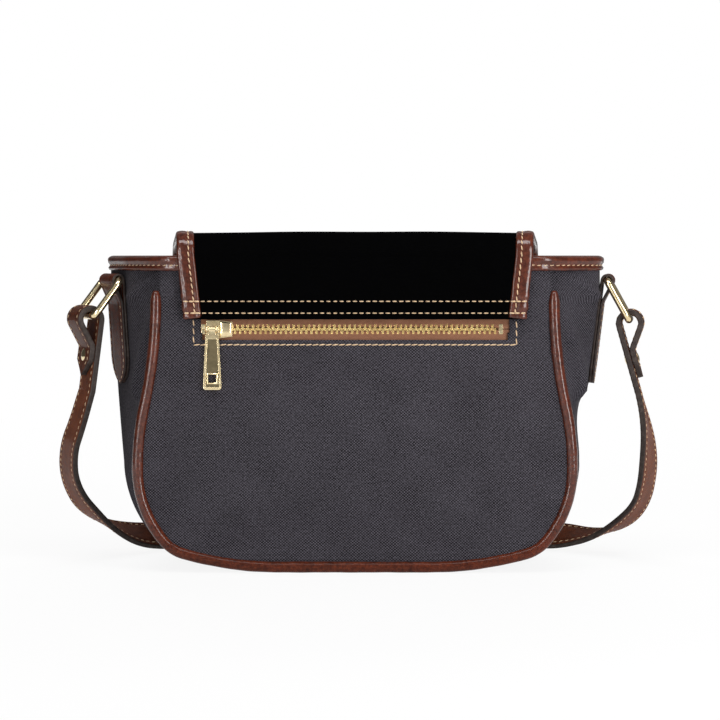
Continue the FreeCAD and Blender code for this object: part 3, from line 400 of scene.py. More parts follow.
class PieceMesh:
    """Gathers the grids of one piece, in millimetres, and makes its Blender object."""

    def __init__(self, name: str, *finishes: Finish) -> None:
        """Starts an empty piece.

        Args:
            name: The piece's name.
            finishes: The finishes that it carries.
        """
        self.name = name
        self.finishes = finishes
        self.points: list[np.ndarray] = []
        self.count = 0
        self.faces: list[tuple[int, ...]] = []
        self.places: list[tuple[float, float]] = []
        self.numbers: list[int] = []

    def add_grid(self, points: np.ndarray, places: np.ndarray, closed: bool = False, capped: bool = False,
                 flipped: bool = False, kept: Optional[np.ndarray] = None,
                 numbers: Optional[Sequence[int]] = None) -> None:
        """Adds a grid of quads.

        Args:
            points: Rows and columns of points.
            places: Place of each point on the flat cloth; one column more than the points where it is closed.
            closed: Whether the last column joins the first.
            capped: Whether the first and last rows are filled.
            flipped: Whether the faces look the other way.
            kept: Which quads are made; all of them if left out.
            numbers: The finish of each column of quads; the first if left out.
        """
        rows, columns = points.shape[:2]
        start = self.count
        self.points.append(points.reshape(-1, 3))
        self.count += rows * columns
        spans = columns if closed else columns - 1
        for row in range(rows - 1):
            for column in range(spans):
                if kept is not None and not kept[row, column]:
                    continue
                after = (column + 1) % columns
                quad = [(row, column, column), (row, after, column + 1), (row + 1, after, column + 1),
                        (row + 1, column, column)]
                if flipped:
                    quad.reverse()
                self.faces.append(tuple(start + r * columns + c for r, c, _ in quad))
                self.places.extend(tuple(places[r, flat]) for r, _, flat in quad)
                self.numbers.append(numbers[column] if numbers is not None else 0)
        if capped:
            for row in (0, rows - 1):
                order = range(columns) if (row > 0) != flipped else range(columns - 1, -1, -1)
                self.faces.append(tuple(start + row * columns + column for column in order))
                self.places.extend(tuple(places[row, column]) for column in order)
                self.numbers.append(numbers[0] if numbers is not None else 0)

    def hang(self, piece: bpy.types.Object, held: str, *rests_on: str) -> None:
        """Works out the area of the flat cut cloth, which is then left unused.

        Args:
            piece: The piece's object; not used.
            held: How it is held; not used.
            rests_on: The solids that it lies on or hangs from; not used.
        """
        flat = np.array(self.places) * MM
        area, start = 0.0, 0
        for face in self.faces:
            corners = flat[start:start + len(face)]
            after = np.roll(corners, -1, 0)
            area += abs(float(np.sum(corners[:, 0] * after[:, 1] - after[:, 0] * corners[:, 1]))) / 2
            start += len(face)

    def build(self) -> bpy.types.Object:
        """Makes the object.

        Returns:
            The object, linked to the scene, in metres.
        """
        mesh = bpy.data.meshes.new(self.name)
        mesh.from_pydata((np.concatenate(self.points) * MM).tolist(), [], self.faces)
        layer = mesh.uv_layers.new(name="cut")
        layer.data.foreach_set("uv", (np.array(self.places, np.float32) * MM).ravel())
        mesh.polygons.foreach_set("material_index", np.array(self.numbers, np.int32))
        mesh.polygons.foreach_set("use_smooth", np.ones(len(self.faces), bool))
        for finish in self.finishes:
            mesh.materials.append(finish.material())
        mesh.update()
        piece = bpy.data.objects.new(self.name, mesh)
        bpy.context.scene.collection.objects.link(piece)
        LOG.info("%s: %d faces", self.name, len(self.faces))
        return piece


def arc(centre: tuple[float, float], radius: float, first: float, last: float, count: int) -> np.ndarray:
    """Points on an arc in an upright plane.

    Args:
        centre: The arc's centre, across and up.
        radius: The arc's radius.
        first: Where it starts, in degrees from straight down towards +X.
        last: Where it ends.
        count: How many points, the last one left out.

    Returns:
        The points, one in each row.
    """
    angles = np.radians(np.linspace(first, last, count, endpoint=False))
    return np.stack([centre[0] + radius * np.sin(angles), centre[1] - radius * np.cos(angles)], 1)


def line(first: Sequence[float], last: Sequence[float], count: int) -> np.ndarray:
    """Points on a straight line, the last one left out."""
    return np.linspace(first, last, count, endpoint=False)


def run_lengths(points: np.ndarray) -> np.ndarray:
    """Length along a line up to each of its points."""
    steps = np.linalg.norm(np.diff(points, axis=0), axis=1)
    return np.concatenate([[0.0], np.cumsum(steps)])


def resampled(points: np.ndarray, step: float, *others: np.ndarray) -> list[np.ndarray]:
    """The same line with even steps.

    Args:
        points: The line's points.
        step: The distance between the new points.
        others: Vectors at the same points, which are made even with them.

    Returns:
        The new points, then the others.
    """
    lengths = run_lengths(points)
    even = np.linspace(0, lengths[-1], max(int(round(lengths[-1] / step)), 1) + 1)
    return [np.stack([np.interp(even, lengths, column) for column in values.T], 1) for values in (points, *others)]


def tangents(points: np.ndarray) -> np.ndarray:
    """Unit directions of a line at its points."""
    return unit(np.gradient(points, axis=0))


def unit(vectors: np.ndarray) -> np.ndarray:
    """Vectors with a length of 1."""
    return vectors / np.maximum(np.linalg.norm(vectors, axis=-1, keepdims=True), 1e-9)


def rounded(points: np.ndarray, times: int) -> np.ndarray:
    """An open line with its corners cut, the ends kept.

    Args:
        points: The line's points.
        times: How often its corners are cut.

    Returns:
        The points of the softer line.
    """
    for _ in range(times):
        first, last = points[:-1], points[1:]
        middle = np.stack([0.75 * first + 0.25 * last, 0.25 * first + 0.75 * last], 1).reshape(-1, points.shape[1])
        points = np.concatenate([points[:1], middle, points[-1:]])
    return points


def eased(share: np.ndarray) -> np.ndarray:
    """Eases from 0 to 1."""
    share = np.clip(share, 0, 1)
    return share * share * (3 - 2 * share)


def within(place: np.ndarray, low: float, rise: float, high: float, fall: float) -> np.ndarray:
    """Eases in above one place and out again below another.

    Args:
        place: Where, in millimetres.
        low: Where it starts.
        rise: Over what length it grows.
        high: Where it ends.
        fall: Over what length it fades.

    Returns:
        A share from 0 to 1 at each place.
    """
    return eased((place - low) / rise) * eased((high - place) / fall)


def ripple(across: np.ndarray, up: np.ndarray, seed: float) -> np.ndarray:
    """Gentle unevenness of hung cloth, from -1 to 1.

    Args:
        across: Place across the cloth, in millimetres.
        up: Place up the cloth.
        seed: A number that shifts the pattern.

    Returns:
        The height at each place.
    """
    waves = (np.sin(across / 19 + up / 27 + seed), np.sin(across / 31 - up / 14 + 2.3 * seed),
             np.sin(across / 11 + up / 43 - 1.7 * seed), np.sin(up / 9 - across / 37 + 0.9 * seed))
    return (waves[0] + 0.8 * waves[1] + 0.5 * waves[2] + 0.4 * waves[3]) / 2.7


def folds(across: np.ndarray, along: np.ndarray, lines: Sequence[Sequence[float]]) -> np.ndarray:
    """Soft folds in a cloth, each along a straight line.

    Args:
        across: Place across the cloth, in millimetres.
        along: Place along the cloth.
        lines: For each fold its two ends, its width and its height.

    Returns:
        The height at each place.
    """
    height = np.zeros(np.broadcast(across, along).shape)
    for first_across, first_along, last_across, last_along, width, rise in lines:
        way = np.array([last_across - first_across, last_along - first_along])
        share = ((across - first_across) * way[0] + (along - first_along) * way[1]) / (way @ way)
        held = np.clip(share, 0, 1)
        away = np.hypot(across - first_across - held * way[0], along - first_along - held * way[1])
        height += rise * np.exp(-(away / width) ** 2)
    return height


def swept(section: np.ndarray, centres: np.ndarray, widths: np.ndarray, normals: np.ndarray,
          shares: Optional[np.ndarray] = None) -> tuple[np.ndarray, np.ndarray]:
    """Carries a closed section along a line.

    Args:
        section: Points of the section: across, then out.
        centres: The line's points.
        widths: Direction of across at each point.
        normals: Direction of out at each point.
        shares: How much of its width the section keeps at each point.

    Returns:
        The grid of points, and the place of each on the flat hide, with one column more.
    """
    if shares is None:
        shares = np.ones(len(centres))
    across = section[None, :, 0, None] * shares[:, None, None]
    points = centres[:, None] + across * widths[:, None] + section[None, :, 1, None] * normals[:, None]
    around = run_lengths(np.concatenate([section, section[:1]]))
    along = run_lengths(centres)
    places = np.stack(np.meshgrid(around, along), -1)
    return points, places


@dataclass(frozen=True)
class Seam:
    """A row of stitches."""

    pitch: float
    share: float
    thickness: float
    slant: float = 0.0

    def sew(self, piece: PieceMesh, points: np.ndarray, normals: np.ndarray, number: int = 0) -> None:
        """Adds the row to a piece.

        Args:
            piece: The piece that the stitches belong to.
            points: The row's line, on the surface.
            normals: The surface's directions there.
            number: The thread's place among the piece's finishes.
        """
        length = run_lengths(points)[-1]
        count = max(int(length / self.pitch), 1)
        fine, outs = resampled(points, 0.4, normals)
        lengths = run_lengths(fine)
        starts = (np.arange(count) + 0.5 * (1 - self.share)) * length / count
        rings, sides = 5, 6
        shares = np.linspace(0, 1, rings)
        turns = np.linspace(0, 2 * math.pi, sides, endpoint=False)
        swell = self.thickness / 2 * np.array([0.62, 0.96, 1.0, 0.96, 0.62])
        rise = self.thickness * np.array([-0.3, 0.02, 0.12, 0.02, -0.3])
        for start in starts:
            where = start + shares * self.pitch * self.share
            middle = np.stack([np.interp(where, lengths, column) for column in fine.T], 1)
            out = unit(np.stack([np.interp(where, lengths, column) for column in outs.T], 1))
            along = unit(middle[-1:] - middle[:1])
            side = unit(np.cross(out, along))
            middle = middle + side * ((shares - 0.5) * self.slant)[:, None] + out * rise[:, None]
            ring = side[:, None] * np.cos(turns)[None, :, None] + out[:, None] * np.sin(turns)[None, :, None]
            grid = middle[:, None] + ring * swell[:, None, None]
            places = np.stack(np.meshgrid(np.linspace(0, 2, sides + 1), where), -1)
            piece.add_grid(grid, places, closed=True, capped=True, numbers=[number] * sides)


class Seams:
    """The rows of stitches on this bag."""

    MOUTH = Seam(pitch=4.0, share=0.78, thickness=0.74, slant=0.6)
    ZIP_FRAME = Seam(pitch=3.76, share=0.97, thickness=0.8, slant=0.5)
    FLAP_EDGE = Seam(pitch=3.7, share=0.8, thickness=0.78, slant=0.6)
    ANCHOR = Seam(pitch=3.75, share=0.68, thickness=0.72)
    ANCHOR_END = Seam(pitch=3.1, share=0.94, thickness=1.0)
    TAB_EDGE = Seam(pitch=3.7, share=0.72, thickness=0.52, slant=0.35)
    TAB_CROSS = Seam(pitch=3.5, share=0.75, thickness=0.6)
    STRAP_EDGE = Seam(pitch=3.8, share=0.72, thickness=0.62, slant=0.35)


def settle(piece: bpy.types.Object, body: str, slot: Optional[str] = None, *nodes: str) -> None:
    """Lets a piece ride on a body, and hides the solids that it replaces.

    Args:
        piece: The piece.
        body: The body that carries it.
        slot: The record's material slot, if it has one; not used.
        nodes: The solids that the piece replaces.
    """
    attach(piece, body)
    if nodes:
        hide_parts(*nodes)


def thicken(piece: bpy.types.Object, thickness: float) -> None:
    """Gives a sheet its thickness, inwards from its face.

    Args:
        piece: The sheet.
        thickness: Its thickness in millimetres.
    """
    modifier = piece.modifiers.new("thickness", "SOLIDIFY")
    modifier.thickness = thickness * MM
    modifier.offset = -1.0


@dataclass(frozen=True)
class SaddleOutline:
    """Outline of the panels, as arcs that run into each other."""

    half_width: float = 129.5
    widest_height: float = 60.0
    flank_radius: float = 68.0
    flank_angle: float = 50.0
    corner_radius: float = 26.0
    toe_angle: float = 16.0
    side_radius: float = 175.0
    side_lean: float = 12.5
    shoulder_radius: float = 291.0
    side_bulge: float = 4.5
    apex_half: float = 141.0

    @property
    def shoulder_height(self) -> float:
        """Height at which the sides turn upright."""
        return self.widest_height + (self.side_radius + self.shoulder_radius) * math.sin(math.radians(self.side_lean))

    @property
    def mouth_half(self) -> float:
        """Half of the outline's width at the mouth."""
        lean = math.radians(self.side_lean)
        return self.half_width - (self.side_radius + self.shoulder_radius) * (1 - math.cos(lean))

    def _lower(self, half: float, inset: float) -> list[np.ndarray]:
        """Arcs from the widest point down to the middle of the base.

        Args:
            half: Half of the width at the widest point.
            inset: How far inside the outline they lie.

        Returns:
            The points of each arc in turn.
        """
        flank, toe = math.radians(self.flank_angle), math.radians(self.toe_angle)
        middle = half - self.flank_radius
        slack = self.flank_radius - self.corner_radius
        corner = (middle + slack * math.sin(flank), self.widest_height - slack * math.cos(flank))
        base = (corner[1] - self.corner_radius * math.cos(toe)) / (1 - math.cos(toe))
        flat = corner[0] + (self.corner_radius - base) * math.sin(toe)
        return [
            arc((middle, self.widest_height), self.flank_radius - inset, 90, self.flank_angle, 16),
            arc(corner, self.corner_radius - inset, self.flank_angle, self.toe_angle, 14),
            arc((flat, base), base - inset, self.toe_angle, 0, 16),
            line((flat, inset), (0, inset), 14), np.array([[0, inset]]),
        ]

    def seam(self, inset: float, top: float) -> np.ndarray:
        """Right half of the outline of a panel.

        Args:
            inset: How far inside the outline it lies.
            top: Height of its upper end.

        Returns:
            Points from the top down to the middle of the base.
        """
        edge, lean = self.mouth_half - inset, self.side_lean
        shoulder = (self.mouth_half + self.shoulder_radius, self.shoulder_height)
        side = (self.half_width - self.side_radius, self.widest_height)
        return np.concatenate([
            line((edge, top), (edge, self.shoulder_height), 8),
            arc(shoulder, self.shoulder_radius + inset, -90, lean - 90, 16),
            arc(side, self.side_radius - inset, 90 + lean, 90, 14),
            *self._lower(self.half_width, inset),
        ])

    def land(self, skew: float, spread: float, inset: float, top: float) -> np.ndarray:
        """Right half of the outline of the gusset's middle, with points that match the seam's.

        Args:
            skew: How far this depth stands out beyond the middle.
            spread: How far the upper end stands out more.
            inset: How far inside the outline it lies.
            top: Height of its upper end.

        Returns:
            Points from the top down to the middle of the base.
        """
        widest = self.half_width + self.side_bulge + skew
        apex = self.apex_half + skew + spread
        step = self.side_radius * math.sin(math.radians(self.side_lean))
        share = step / (self.shoulder_height - self.widest_height)
        middle = (widest + (apex - widest) * share - inset, self.widest_height + step)
        return np.concatenate([
            line((apex - inset, top), (apex - inset, self.shoulder_height), 8),
            line((apex - inset, self.shoulder_height), middle, 16),
            line(middle, (widest - inset, self.widest_height), 14),
            *self._lower(widest, inset),
        ])


def whole(right: np.ndarray, left: np.ndarray) -> np.ndarray:
    """A whole outline, from the top left round the base to the top right, from two right halves."""
    return np.concatenate([left * np.array([-1, 1]), right[-2::-1]])


def stood(points: np.ndarray, depth: float) -> np.ndarray:
    """Points of an upright outline, set at a depth."""
    return np.stack([points[:, 0], np.full(len(points), depth), points[:, 1]], 1)


@dataclass
class Shell:
    """The cloth shell of the bag with its lining, piping and the binding round the mouth."""

    outline: SaddleOutline = SaddleOutline()
    depth: float = 80.0
    mouth_height: float = 183.0
    cloth: float = 2.0
    panel_inset: float = 5.6
    tuck: float = 1.6
    crown: float = 3.2
    lip: float = 2.0
    land_width: float = 27.0
    left_yaw: float = 27.0
    right_yaw: float = 9.0
    right_spread: float = 5.0
    corner_reach: float = 15.0
    corner_start: float = 6.0
    corner_run: float = 16.0
    window_half: float = 89.0
    window_low: float = 135.6
    window_high: float = 148.0
    lining_inset: float = 8.5
    lining_back: float = -33.4
    lining_front: float = 37.5
    lining_top: float = 176.0
    piping: float = 6.5
    piping_top: float = 164.0
    piping_taper: float = 7.0
    piping_tip: float = 0.42
    band: float = 8.8
    leather: float = 1.0
    covered_half: float = 101.0
    covered_ease: float = 8.0
    swell_span: tuple[float, ...] = (6.0, 40.0, 112.0, 36.0)
    unevenness: float = 0.45
    side_slack: float = 0.8
    slack_span: tuple[float, ...] = (110.0, 25.0, 176.0, 10.0)
    pucker: float = 0.28
    seam_dip: float = 1.1
    zip_dip: float = 0.5
    snap_height: float = 80.0
    snap_radius: float = 10.5
    snap_ease: float = 16.0
    right_tuck: float = 5.0
    tuck_span: tuple[float, ...] = (56.0, 34.0, 111.0, 18.0)
    land_softness: float = 0.55
    sag_span: tuple[float, ...] = (12.0, 40.0, 172.0, 40.0)
    gusset_cloth: float = 1.0
    gusset_wave: float = 0.5
    gusset_seam: float = 16.0
    gusset_base: float = 30.0
    left_folds: tuple[tuple[float, ...], ...] = ((-33, 10, -15, 24, 2.6, 3.4), (-31, 32, -17, 80, 3.0, 3.8),
                                                 (-27, 80, -19, 132, 2.8, 3.0), (32, 20, 16, 44, 3, 3.0))
    right_folds: tuple[tuple[float, ...], ...] = ((-32, 8, -16, 22, 2.6, 3.6), (-30, 32, -17, 80, 3.0, 3.8),
                                                  (-31, 70, -22, 112, 2.8, 2.8), (33, 18, 15, 40, 3, 3.0))

    @property
    def sides(self) -> tuple[tuple[int, float, float, float], ...]:
        """Sign, yaw, spread and tuck of the right side, then of the left."""
        return (1, self.right_yaw, self.right_spread, self.right_tuck), (-1, self.left_yaw, 0.0, 0.0)

    def build(self) -> None:
        """Makes every piece of the shell."""
        self.make_panel("back_cloth", -1, "back_panel", True)
        self.make_panel("front_cloth", 1, "front_panel", False)
        self.make_gusset()
        self.make_lining()
        for name, side in (("back_piping", -1), ("front_piping", 1)):
            self.make_piping(name, side)
        self.make_binding()

    def panel_grid(self, inset: float, low: float, top: float, levels: Iterable[float],
                   stops: Iterable[float]) -> tuple[np.ndarray, np.ndarray]:
        """Even grid over the inside of the panels' outline.

        Args:
            inset: How far inside the outline it ends.
            low: Height of its lowest row.
            top: Height of its highest row.
            levels: Heights that have a row of their own.
            stops: Shares of the half width that have a column of their own.

        Returns:
            Across and height of each point.
        """
        half = self.outline.seam(inset, top + 1)
        upward = half[np.argsort(half[:, 1], kind="stable")]
        upward = upward[upward[:, 1] > inset + 1e-6]
        heights = low + (top - low) * np.linspace(0, 1, 96) ** 1.5
        heights = np.unique(np.concatenate([heights, list(levels)]))
        shares = np.unique(np.round(np.concatenate([np.linspace(-1, 1, 121), list(stops)]), 5))
        reach = np.interp(heights, upward[:, 1], upward[:, 0])
        return reach[:, None] * shares[None], np.repeat(heights[:, None], len(shares), 1)

    def in_window(self, across: np.ndarray, up: np.ndarray, beside: float = 0.0, beyond: float = 0.0) -> np.ndarray:
        """Which places lie in the zip's window, with a margin beside it and one above and below it."""
        return ((np.abs(across) < self.window_half + beside) & (up > self.window_low - beyond)
                & (up < self.window_high + beyond))

    def make_panel(self, name: str, facing: int, node: str, window: bool) -> None:
        """Makes one large panel.

        Args:
            name: The piece's name.
            facing: -1 for the back, 1 for the front.
            node: The solid that it replaces.
            window: Whether it has the zip's window.
        """
        inset = self.panel_inset - self.tuck
        edge = self.outline.mouth_half - inset
        stop = self.window_half / edge
        low, high = self.window_low, self.window_high
        levels = (low, high, low - 1.2, high + 1.2) if window else ()
        stops = (-stop, stop, stop + 0.01, -stop - 0.01) if window else ()
        across, up = self.panel_grid(inset + 0.02, inset + 0.1, self.mouth_height, levels, stops)
        share = across / across[:, -1:]
        swell = self.crown * (1 - share ** 2) * within(up, *self.swell_span)
        swell += self.unevenness * ripple(across, up, 1.0 + facing) * (1 - share ** 4) * eased((150 - up) / 60)
        aside = eased((np.abs(across) - self.covered_half) / self.covered_ease) * within(up, *self.slack_span)
        swell += self.side_slack * ripple(1.6 * across, 1.3 * up, 3.0 + facing) * aside
        border = np.minimum((1 - np.abs(share)) * across[:, -1:], up - inset)
        gathers = np.sin(run_lengths(np.stack([across[:, -1], up[:, 0]], 1)) / 2.4)[:, None]
        swell += self.pucker * gathers * np.exp(-border / 7) * eased(border / 3)
        swell -= self.seam_dip * np.exp(-border / 2.2)
        kept = None
        if window:
            swell = np.where(self.in_window(across, up, 1.4, 0.4), swell - self.zip_dip, swell)
            kept = ~self.in_window(*((grid[:-1, :-1] + grid[1:, 1:]) / 2 for grid in (across, up)))
        else:
            swell *= eased((np.hypot(across, up - self.snap_height) - self.snap_radius) / self.snap_ease)
        grid = np.stack([across, facing * (self.depth / 2 + swell), up], -1)
        piece = PieceMesh(name, Finishes.BODY_CLOTH)
        piece.add_grid(self.softened(grid), np.stack([across, up], -1), flipped=facing > 0, kept=kept)
        made = piece.build()
        thicken(made, self.cloth)
        settle(made, "bag", "charcoal_cloth", node)
        piece.hang(made, "stretched", "gusset")

    def wall(self, depth: float, inset: float, top: float) -> np.ndarray:
        """The gusset's outline at one depth, soft where the land meets the sides.

        Args:
            depth: How far from the middle plane.
            inset: How far inside the gusset's outer face.
            top: Height of its upper end.

        Returns:
            Points from the top left round the base to the top right.
        """
        land = self.land_width / 2
        edge = self.depth / 2 - self.cloth - self.lip
        held = min(max(depth, -land), land)
        share = min(max((edge - abs(depth)) / (edge - land), 0), 1)
        share += self.land_softness * (eased(share) - share)
        seam = self.outline.seam(self.panel_inset + inset, top)
        halves = []
        for _, yaw, spread, tuck in self.sides:
            middle = self.outline.land(held * math.tan(math.radians(yaw)), spread, inset, top)
            half = seam + (middle - seam) * share
            half[:, 0] -= tuck * share * within(half[:, 1], *self.tuck_span)
            halves.append(half)
        return stood(whole(*halves), depth)

    def softened(self, points: np.ndarray) -> np.ndarray:
        """Rounds the corners between the panels and the gusset, more towards the mouth.

        Args:
            points: Points of the shell, in any grid.

        Returns:
            The same points, moved off the corners.
        """
        moved = points.copy()
        reach = self.corner_reach
        share = eased((points[..., 2] - self.piping_top + self.corner_start) / self.corner_run)[..., None]
        land = self.land_width / 2
        for side, yaw, spread, _ in self.sides:
            for facing in (-1, 1):
                corner = np.array([side * (self.outline.mouth_half - self.panel_inset), facing * self.depth / 2])
                apex = self.outline.apex_half + spread + facing * land * math.tan(math.radians(yaw))
                leg = unit(np.array([side * apex, facing * land]) - corner)
                flat = points[..., :2] - corner
                near = (side * points[..., 0] > 0) & (facing * points[..., 1] > land)
                before = np.clip(-side * flat[..., 0] / reach, 0, 1)
                after = np.clip(flat @ leg / reach, 0, 1)
                place = np.where(side * flat[..., 0] < 0, 0.5 - 0.5 * before, 0.5 + 0.5 * after)[..., None]
                inward = np.array([-side, 0.0])
                curve = (1 - place) ** 2 * inward + place ** 2 * leg
                straight = np.where(place < 0.5, (1 - 2 * place) * inward, (2 * place - 1) * leg)
                moved[..., :2] += np.where(near[..., None], (curve - straight) * reach * share, 0.0)
        return moved

    def make_gusset(self) -> None:
        """Makes the cloth wall between the panels."""
        reach = self.depth / 2 - self.cloth
        depths = np.linspace(-reach, reach, 49)
        middle = len(depths) // 2
        grid = np.stack([self.wall(depth, 0.0, self.mouth_height) for depth in depths], 1)
        rows = run_lengths(grid[:, middle])
        turn = np.cross(np.gradient(grid, axis=0), np.gradient(grid, axis=1))
        slack = eased((reach - np.abs(depths)) / self.gusset_seam)[None] * eased(grid[..., 2] / self.gusset_base)
        wave = self.gusset_wave * ripple(rows[:, None] * 0.8, depths[None] * 1.6, 4.0)
        wave += folds(depths[None], rows[:, None], self.left_folds)
        wave += folds(depths[None], rows[-1] - rows[:, None], self.right_folds)
        grid = self.softened(grid - unit(turn) * (slack * wave)[..., None])
        piece = PieceMesh("gusset_cloth", Finishes.BODY_CLOTH)
        across = np.array([run_lengths(row) for row in grid])
        across -= across[:, middle, None]
        piece.add_grid(grid, np.stack([across, np.repeat(rows[:, None], len(depths), 1)], -1))
        made = piece.build()
        thicken(made, self.gusset_cloth)
        settle(made, "bag", "charcoal_cloth", "gusset")
        piece.hang(made, "stretched", "back_panel", "front_panel")

    def make_lining(self) -> None:
        """Makes the open bag of lining inside the shell."""
        piece = PieceMesh("lining_cloth", Finishes.LINING)
        depths = np.linspace(self.lining_back, self.lining_front, 29)
        inset = self.lining_inset - self.panel_inset
        grid = np.stack([self.wall(depth, inset, self.lining_top) for depth in depths], 1)
        rows = run_lengths(grid[:, len(depths) // 2])
        piece.add_grid(self.softened(grid), np.stack(np.meshgrid(depths, rows), -1), flipped=True)
        across, up = self.panel_grid(self.lining_inset, self.lining_inset + 0.1, self.lining_top, (), ())
        for depth, facing in ((self.lining_back, 1), (self.lining_front, -1)):
            sag = 0.5 * (1 + ripple(across, up, 7.0 + facing)) * within(up, *self.sag_span)
            wall = np.stack([across, depth + facing * sag, up], -1)
            aside = facing * (self.outline.half_width + self.depth)
            piece.add_grid(self.softened(wall), np.stack([across + aside, up], -1), flipped=facing < 0)
        made = piece.build()
        settle(made, "bag", "lining_cloth", "lining")
        piece.hang(made, "hung", "mouth_binding")

    def make_piping(self, name: str, facing: int) -> None:
        """Makes the round leather piping of one panel's seam.

        Args:
            name: The solid that it replaces.
            facing: -1 for the back, 1 for the front.
        """
        half = self.outline.seam(self.piping / 2, self.piping_top)
        depth = facing * (self.depth / 2 - self.cloth / 2)
        path, = resampled(stood(whole(half, half), depth), 1.6)
        along = tangents(path)
        out = np.cross(along, Y_AXIS)
        lengths = run_lengths(path)
        end = np.minimum(lengths, lengths[-1] - lengths)
        taper = np.sqrt(np.clip(end / self.piping_taper, 0, 1))
        thick = self.piping / 2 * (self.piping_tip + (1 - self.piping_tip) * taper)
        thick *= 1 + 0.018 * np.sin(lengths / 5.1) + 0.012 * np.sin(lengths / 2.3 + 1)
        columns = 18
        turns = np.linspace(0, 2 * math.pi, columns, endpoint=False)
        ring = np.stack([np.cos(turns), np.sin(turns)], 1)
        grid = path[:, None] + thick[:, None, None] * (ring[None, :, :1] * out[:, None] + ring[None, :, 1:] * Y_AXIS)
        places = np.stack(np.meshgrid(np.linspace(0, math.pi * self.piping, columns + 1), lengths), -1)
        piece = PieceMesh(f"{name}_roll", Finishes.TRIM)
        piece.add_grid(grid, places, closed=True, capped=True)
        settle(piece.build(), "bag", "brown_leather", name)

    def mouth_line(self) -> np.ndarray:
        """The outer face of the mouth's wall, seen from above.

        Returns:
            Points of a closed line that starts in the middle of the back.
        """
        seam, face = self.outline.mouth_half - self.panel_inset, self.depth / 2
        land = self.land_width / 2
        corners = [(0.0, -face)]
        for side, yaw, spread, _ in self.sides:
            skew, apex = land * math.tan(math.radians(yaw)), self.outline.apex_half + spread
            half = [(seam, -face), (apex - skew, -land), (apex + skew, land), (seam, face)]
            half = half if side > 0 else half[::-1]
            corners += [(side * across, deep) for across, deep in half]
            if side > 0:
                corners.append((0.0, face))
        corners.append((0.0, -face))
        flat, = resampled(np.array(corners), 1.0)
        line_points = self.softened(np.concatenate([flat, np.full((len(flat), 1), self.mouth_height)], 1))
        return rounded(resampled(line_points, 5.0)[0], 2) * np.array([1, 1, 0])

    def make_binding(self) -> None:
        """Makes the leather folded over the rim of the mouth, with its stitches."""
        path, = resampled(self.mouth_line(), 2.0)
        path = path[:-1]
        along = unit(np.roll(path, -1, 0) - np.roll(path, 1, 0))
        out = np.cross(along, Z_AXIS)
        top = self.mouth_height + self.leather + 0.4
        low = top - self.band
        outer, inner = self.leather + 0.1, -self.cloth - self.leather - 0.1
        middle, reach = (outer + inner) / 2, (outer - inner) / 2
        cap = [(middle + reach * math.cos(turn), top - reach + reach * math.sin(turn))
               for turn in np.linspace(0, math.pi, 9)]
        sewn, groove, ridge = low + 3.1, outer - 0.12, low + 4.6
        slim = np.array([(outer - 0.35, low), (outer - 0.05, low + 0.5), (outer + 0.1, low + 1.6), (groove, sewn),
                         (outer + 0.1, ridge), *cap, (inner - 0.1, ridge), (inner + 0.1, sewn), (inner, low + 1.0),
                         (inner + 0.4, low)])
        full = slim.copy()
        rolls = np.array([0.1, 0.7, 0.9, 0.0, 1.0, 1.3, 1.1, 0.65, 0.2])
        full[:len(rolls), 0] += rolls
        loop = np.concatenate([path, path[:1]])
        outs = np.concatenate([out, out[:1]])
        ups = np.repeat(Z_AXIS[None], len(loop), 0)
        bare = np.where(loop[:, 1] > 0, 1.0, eased((np.abs(loop[:, 0]) - self.covered_half) / self.covered_ease))
        grid, places = swept(slim, loop, outs, ups)
        grid += (swept(full, loop, outs, ups)[0] - grid) * bare[:, None, None]
        piece = PieceMesh("mouth_binding_fold", Finishes.TRIM, Finishes.THREAD)
        piece.add_grid(grid, places, closed=True, flipped=True)
        Seams.MOUTH.sew(piece, loop + outs * groove + Z_AXIS * sewn, outs, 1)
        settle(piece.build(), "bag", "brown_leather", "mouth_binding")


